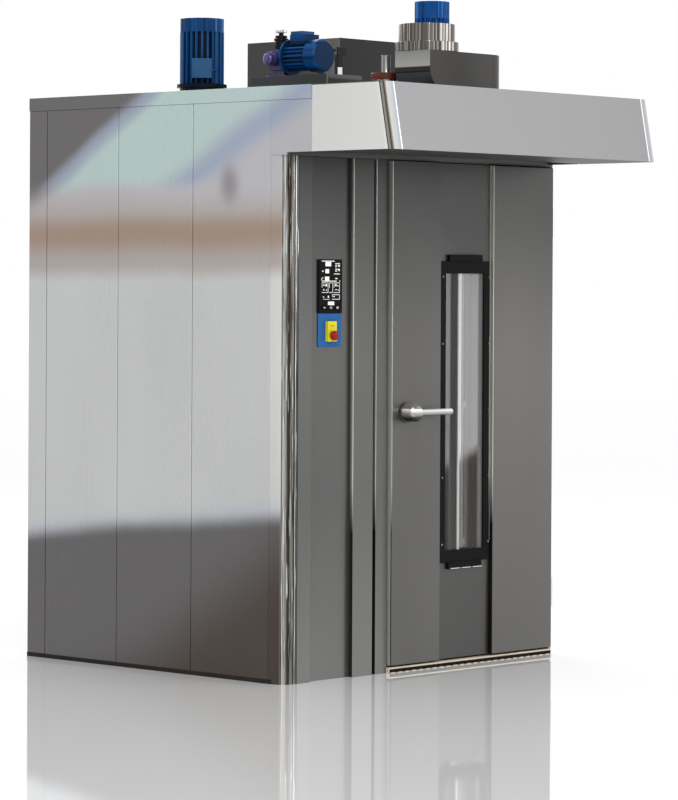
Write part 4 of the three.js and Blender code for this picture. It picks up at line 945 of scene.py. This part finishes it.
def dressKeypad():
    k = keypadFoil
    left, top, width, height, w = k["left"], k["top"], k["width"], k["height"], k["stroke"]
    front, back = k["front"] - k["proud"], k["front"] + k["sunk"]
    upright = k["uprightStroke"] * w
    strokes = list(k["marks"])
    for u0, u1, v0, v1 in k["frames"]:
        strokes += [(u0, u1, v0, v0 + w), (u0, u1, v1 - w, v1), (u1 - upright, u1, v0, v1),
                    (u0, u0 + upright, v0, (v0 + v1) / 2)]
    bars("keypad_marks", [(left + u0 * width, left + u1 * width, front, back, top - v1 * height,
                           top - v0 * height) for u0, u1, v0, v1 in strokes], "keyPlastic")
    for key, signs in k["signs"].items():
        low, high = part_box(key)
        middle = ((low + high) / 2 - frontLeft) / mm
        near, far = (depthOf(low) + depth for depth in k["signDepths"])
        bars(key + "_sign", [(middle.x + a, middle.x + b, near, far, middle.z + c, middle.z + d)
                             for a, b, c, d in signs], "keyPlastic", key)
    rim = k["rim"]
    r, front = rim["width"], k["front"] - rim["proud"]
    left, right = left + rim["inset"], left + width - rim["inset"]
    low, high = top - height + rim["footInset"], top - rim["inset"]
    bars("keypad_rim", [(left, right, front, back, high - r, high), (left, right, front, back, low, low + r),
                        (left, left + r, front, back, low, high), (right - r, right, front, back, low, high)],
         "blackPowderCoat")


# Stop station: dark collar round the knob's neck, two small screws above it, and a lobed red knob.
# The knob's profile is (share of its radius, depth from its front).
stopStation = {
    "centre": (272.5, 1339.7),
    "screws": {"height": 1377, "spread": 6, "out": 0.5, "head": (2.3, 1.4, 8)},
    "knob": {"radius": 19, "neck": 9, "sides": 16, "bevel": 0.9, "clear": 5.6, "rim": (0.985, 0.9, 2),
             "profile": [(0.2, 0), (0.62, 0.6), (0.86, 3.2), (0.985, 7)]},
    "collar": {"radii": (10.1, 12.5), "depths": (-0.5, -0.05), "sides": 32},
}


def dressStop():
    x, z = stopStation["centre"]
    s, knob, collar = stopStation["screws"], stopStation["knob"], stopStation["collar"]
    boxFront = depthOf(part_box("stop_box")[0])
    screws("stop_box_screws", [(x + shift, boxFront - s["out"], s["height"])
                               for shift in (-s["spread"], s["spread"])],
           s["head"], towardsFront, "blackenedSteel")
    low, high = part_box("stop_button")
    front, back, face = depthOf(low), depthOf(high), boxFront - knob["clear"]
    r, (rim, heel, rimDepth) = knob["radius"], knob["rim"]
    turned("stop_knob", [(r * share, front + depth) for share, depth in knob["profile"]] + [
        (r * rim, face - rimDepth), (r * heel, face), (knob["neck"], face), (knob["neck"], back),
    ], (x, 0, z), "redAbs", "stop_button", "Y", knob["sides"], knob["bevel"], ("stop_button",))
    (inner, outer), (near, far) = collar["radii"], collar["depths"]
    turned("knob_collar", [(inner, near), (outer, near), (outer, far), (inner, far)], (x, boxFront, z),
           "blackenedSteel", axis="Y", sides=collar["sides"])


# Window: screws in both rims, slats in the lower vent block, a beaded edge on the right
windowTrim = {
    "left": 901, "right": 1204,
    "screws": {"levels": (1572, 1302, 1032, 762, 492), "inset": 8, "head": (4, 1.8, 10), "out": 0.4},
    "beads": {"first": 500, "pitch": 13, "count": 82, "skip": (640, 1330), "reach": (-0.2, 1.4)},
    "vent": {"from": 952, "to": 1157, "count": 3, "gap": 5, "depths": (-5.6, -5.0),
             "levels": (392.5, 395.5)},
}


def dressWindow():
    right, s, b, v = (windowTrim[part] for part in ("right", "screws", "beads", "vent"))
    low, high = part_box("window_frame")
    front, back = depthOf(low), depthOf(high)
    screws("window_screws", [(x, front - s["out"], z) for z in s["levels"]
                             for x in (windowTrim["left"] + s["inset"], right - s["inset"])],
           s["head"], towardsFront, "dullZinc", "door")
    near, far = (right + reach for reach in b["reach"])
    levels = [b["first"] + b["pitch"] * i for i in range(b["count"])]
    bars("window_beads", [(near, far, front + 1, back - 1, z, z + b["pitch"] / 2)
                          for z in levels if not b["skip"][0] < z < b["skip"][1]], "polishedSteel", "door")
    step = (v["to"] - v["from"]) / v["count"]
    starts = [v["from"] + step * i + v["gap"] for i in range(v["count"])]
    near, far = (front + depth for depth in v["depths"])
    bars("vent_lips", [(x, x + step - 2 * v["gap"], near, far, *v["levels"]) for x in starts],
         "polishedSteel", "door")


# Sill: a black drip grille along its front, with pale teeth under it and a stud over each
sill = {"from": 594, "to": 1601, "grille": {"levels": (1.5, 15.5), "depths": (-1.4, -0.1), "bevel": 0.3},
        "teeth": {"count": 24, "inset": 6, "width": 26, "depths": (-2.2, -1.0), "levels": (0.3, 2.6)},
        "studs": {"head": (2.6, 1.0, 8), "out": 1.7}}


def dressSill():
    start, end, grille, teeth, studs = (sill[part] for part in ("from", "to", "grille", "teeth", "studs"))
    front = depthOf(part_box("threshold")[0])
    near, far = (front + depth for depth in grille["depths"])
    slab("sill_grille", [(start, near), (end, near), (end, far), (start, far)], grille["levels"],
         "blackPowderCoat", grille["bevel"])
    pitch = (end - start) / teeth["count"]
    near, far = (front + depth for depth in teeth["depths"])
    edges = [start + pitch * i + teeth["inset"] for i in range(teeth["count"])]
    bars("sill_teeth", [(x, x + teeth["width"], near, far, *teeth["levels"]) for x in edges], "sillPaint")
    height = sum(grille["levels"]) / 2
    screws("sill_studs", [(start + pitch * (i + 0.5), front - studs["out"], height)
                          for i in range(teeth["count"])], studs["head"], towardsFront, "blackenedSteel")


# Roof fittings: lids on the terminal boxes, the gearbox's domed cover and bolts, discs under and over
# the chain wheel, a sleeve on the pipe's collar, and a dark bracket with a blank label
roof = {
    "fanLid": {"centre": (300, 757), "reaches": (133.2, 136), "half": 40, "levels": (2364.5, 2443.5),
               "bevel": 1.3},
    "gearLid": {"x": (763, 837), "y": (637, 704), "levels": (2571.5, 2586), "bevel": 2.5},
    "footBolts": {"x": (752, 848), "y": (748, 812), "level": 2408, "head": (7, 6, 6)},
    "flangeBolts": {"centre": (800, 739, 2482), "reach": 68, "count": 8, "head": (5, 5, 6)},
    "guard": {"outline": [(1037, 2419), (1068, 2419), (1068, 2500), (1095, 2503), (1095, 2533), (1037, 2537)],
              "depths": (692, 697), "bevel": 0.5},
    "label": {"outline": [(1038.5, 2421), (1066, 2421), (1066, 2452), (1038.5, 2452)],
              "depths": (691.2, 691.95), "bevel": 0.2},
}
wheelCentre = (800, 792.3, 0)
roofTurnings = {  # finish, body, axis, sides, centre and profile of each turned piece
    "gear_terminal_gland": ("lidEnamel", "body", "X", 12, (846, 660, 2552), [
        (9, -6), (9, 4), (12, 5), (12, 13), (7, 14), (7, 22)]),
    "gearbox_dome": ("domeEnamel", "body", "X", 40, (716, 792, 2475), [
        (6, -9), (15, -7.5), (22, -3), (25.5, 3), (26.5, 9), (23, 10), (23, 13), (29, 14), (30, 22), (29, 24),
        (29, 40)]),
    "chain_wheel_collar": ("blackenedSteel", "drive_sprocket", "Z", 48, wheelCentre, [
        (22, 2488), (30, 2489), (30, 2497), (22, 2498), (22, 2502)]),
    "chain_wheel_discs": ("blackenedSteel", "drive_sprocket", "Z", 48, wheelCentre, [
        (20, 2531), (27, 2532), (27, 2541), (18, 2542), (18, 2552), (30, 2553), (30, 2562), (20, 2563)]),
    "chain_wheel_cap": ("polishedSteel", "drive_sprocket", "Z", 48, wheelCentre, [
        (16, 2586), (24, 2587), (24, 2597), (17, 2600)]),
    "pipe_sleeve": ("copperSleeve", "body", "Z", 48, (640, 62, 0), [
        (19.6, 2354.6), (58, 2354.6), (59.5, 2358), (59.5, 2378), (57, 2381.2), (19.6, 2381.2)]),
}


def turnOnRoof(*names):
    for name in names:
        finish, body, axis, sides, centre, profile = roofTurnings[name]
        turned(name, profile, centre, finish, body, axis, sides)


def dressRoof():
    lid = roof["fanLid"]
    out, side = Vector((-1, -1)).normalized(), Vector((1, -1)).normalized()
    near, far = lid["reaches"]
    corners = [Vector(lid["centre"]) + out * reach + side * across * lid["half"]
               for reach, across in ((near, -1), (near, 1), (far, 1), (far, -1))]
    slab("fan_terminal_lid", [tuple(corner) for corner in corners], lid["levels"], "lidEnamel", lid["bevel"])
    lid = roof["gearLid"]
    (x0, x1), (y0, y1) = lid["x"], lid["y"]
    slab("gear_terminal_lid", [(x0, y0), (x1, y0), (x1, y1), (x0, y1)], lid["levels"], "lidEnamel",
         lid["bevel"])
    turnOnRoof("gear_terminal_gland", "gearbox_dome")
    b = roof["footBolts"]
    screws("gearbox_foot_bolts", [(x, y, b["level"]) for x in b["x"] for y in b["y"]], b["head"], upwards,
           "gearEnamel")
    b = roof["flangeBolts"]
    x, y, z = b["centre"]
    angles = [math.tau * (i + 0.5) / b["count"] for i in range(b["count"])]
    screws("gear_flange_bolts", [(x + b["reach"] * math.cos(a), y, z + b["reach"] * math.sin(a))
                                 for a in angles], b["head"], towardsFront, "blackenedSteel")
    turnOnRoof("chain_wheel_collar", "chain_wheel_discs", "chain_wheel_cap")
    for name, part, finish in (("chain_guard", roof["guard"], "blackenedSteel"),
                               ("blank_label", roof["label"], "keyPlastic")):
        slab(name, part["outline"], part["depths"], finish, part["bevel"], "Y")
    turnOnRoof("pipe_sleeve")


for dress in (dressCasing, dressKeypad, dressStop, dressWindow, dressSill, dressRoof):
    dress()
print("small pieces made")


studio = {"floorSize": 900, "floorColour": "#fdfdfd", "floorGlow": 0.04, "floorMirror": 0.26,
          "floorRoughness": 0.04, "floorIor": 3.5, "skyForDiffuse": 0.75, "skySeen": 1.0}


def makeStage():
    s = studio
    bpy.ops.mesh.primitive_plane_add(size=s["floorSize"], location=(0, 0, 0))
    floor = bpy.context.object
    floor.name = "studioFloor"
    material, shader, _ = newMaterial("studioFloor", {
        "Base Color": hexColour(s["floorColour"]), "Roughness": s["floorRoughness"], "IOR": s["floorIor"],
        "Metallic": s["floorMirror"], "Emission Color": (1, 1, 1, 1),
    })
    seenDirectly = addNode("ShaderNodeLightPath").outputs["Is Camera Ray"]
    fill(shader, {"Emission Strength": maths("MULTIPLY", seenDirectly, s["floorGlow"])})
    paint(floor, material)

    world = bpy.data.worlds.new("studioWorld")
    bpy.context.scene.world = world
    world.use_nodes = True
    building["tree"] = world.node_tree
    world.node_tree.nodes.clear()
    path = addNode("ShaderNodeLightPath").outputs
    seen = path["Is Camera Ray"]
    for ray in ("Is Glossy Ray", "Is Transmission Ray"):
        seen = maths("MAXIMUM", seen, path[ray])
    sky = addNode("ShaderNodeBackground", inputs={
        "Color": (1, 1, 1, 1), "Strength": ranged(seen, 0.0, 1.0, s["skyForDiffuse"], s["skySeen"]),
    })
    addNode("ShaderNodeOutputWorld", inputs={"Surface": sky.outputs[0]})


lampAim = (0, 0, 1.2)
lamps = {
    "keyLamp": {"at": (-6, -7, 7), "size": 4, "power": 420},
    "fillLamp": {"at": (5, -8, 4), "size": 5, "power": 160},
    "backLamp": {"at": (4, 7, 7), "size": 4, "power": 200},
}


def makeLamps():
    for name, lamp in lamps.items():
        data = bpy.data.lights.new(name, "AREA")
        data.size, data.energy = lamp["size"], lamp["power"]
        light = newObject(name, data)
        light.location = lamp["at"]
        aim = Vector(lampAim) - Vector(lamp["at"])
        light.rotation_euler = aim.to_track_quat("-Z", "Y").to_euler()


makeStage()
makeLamps()
bpy.context.scene.view_settings.view_transform = "Standard"
print("stage and lamps placed")
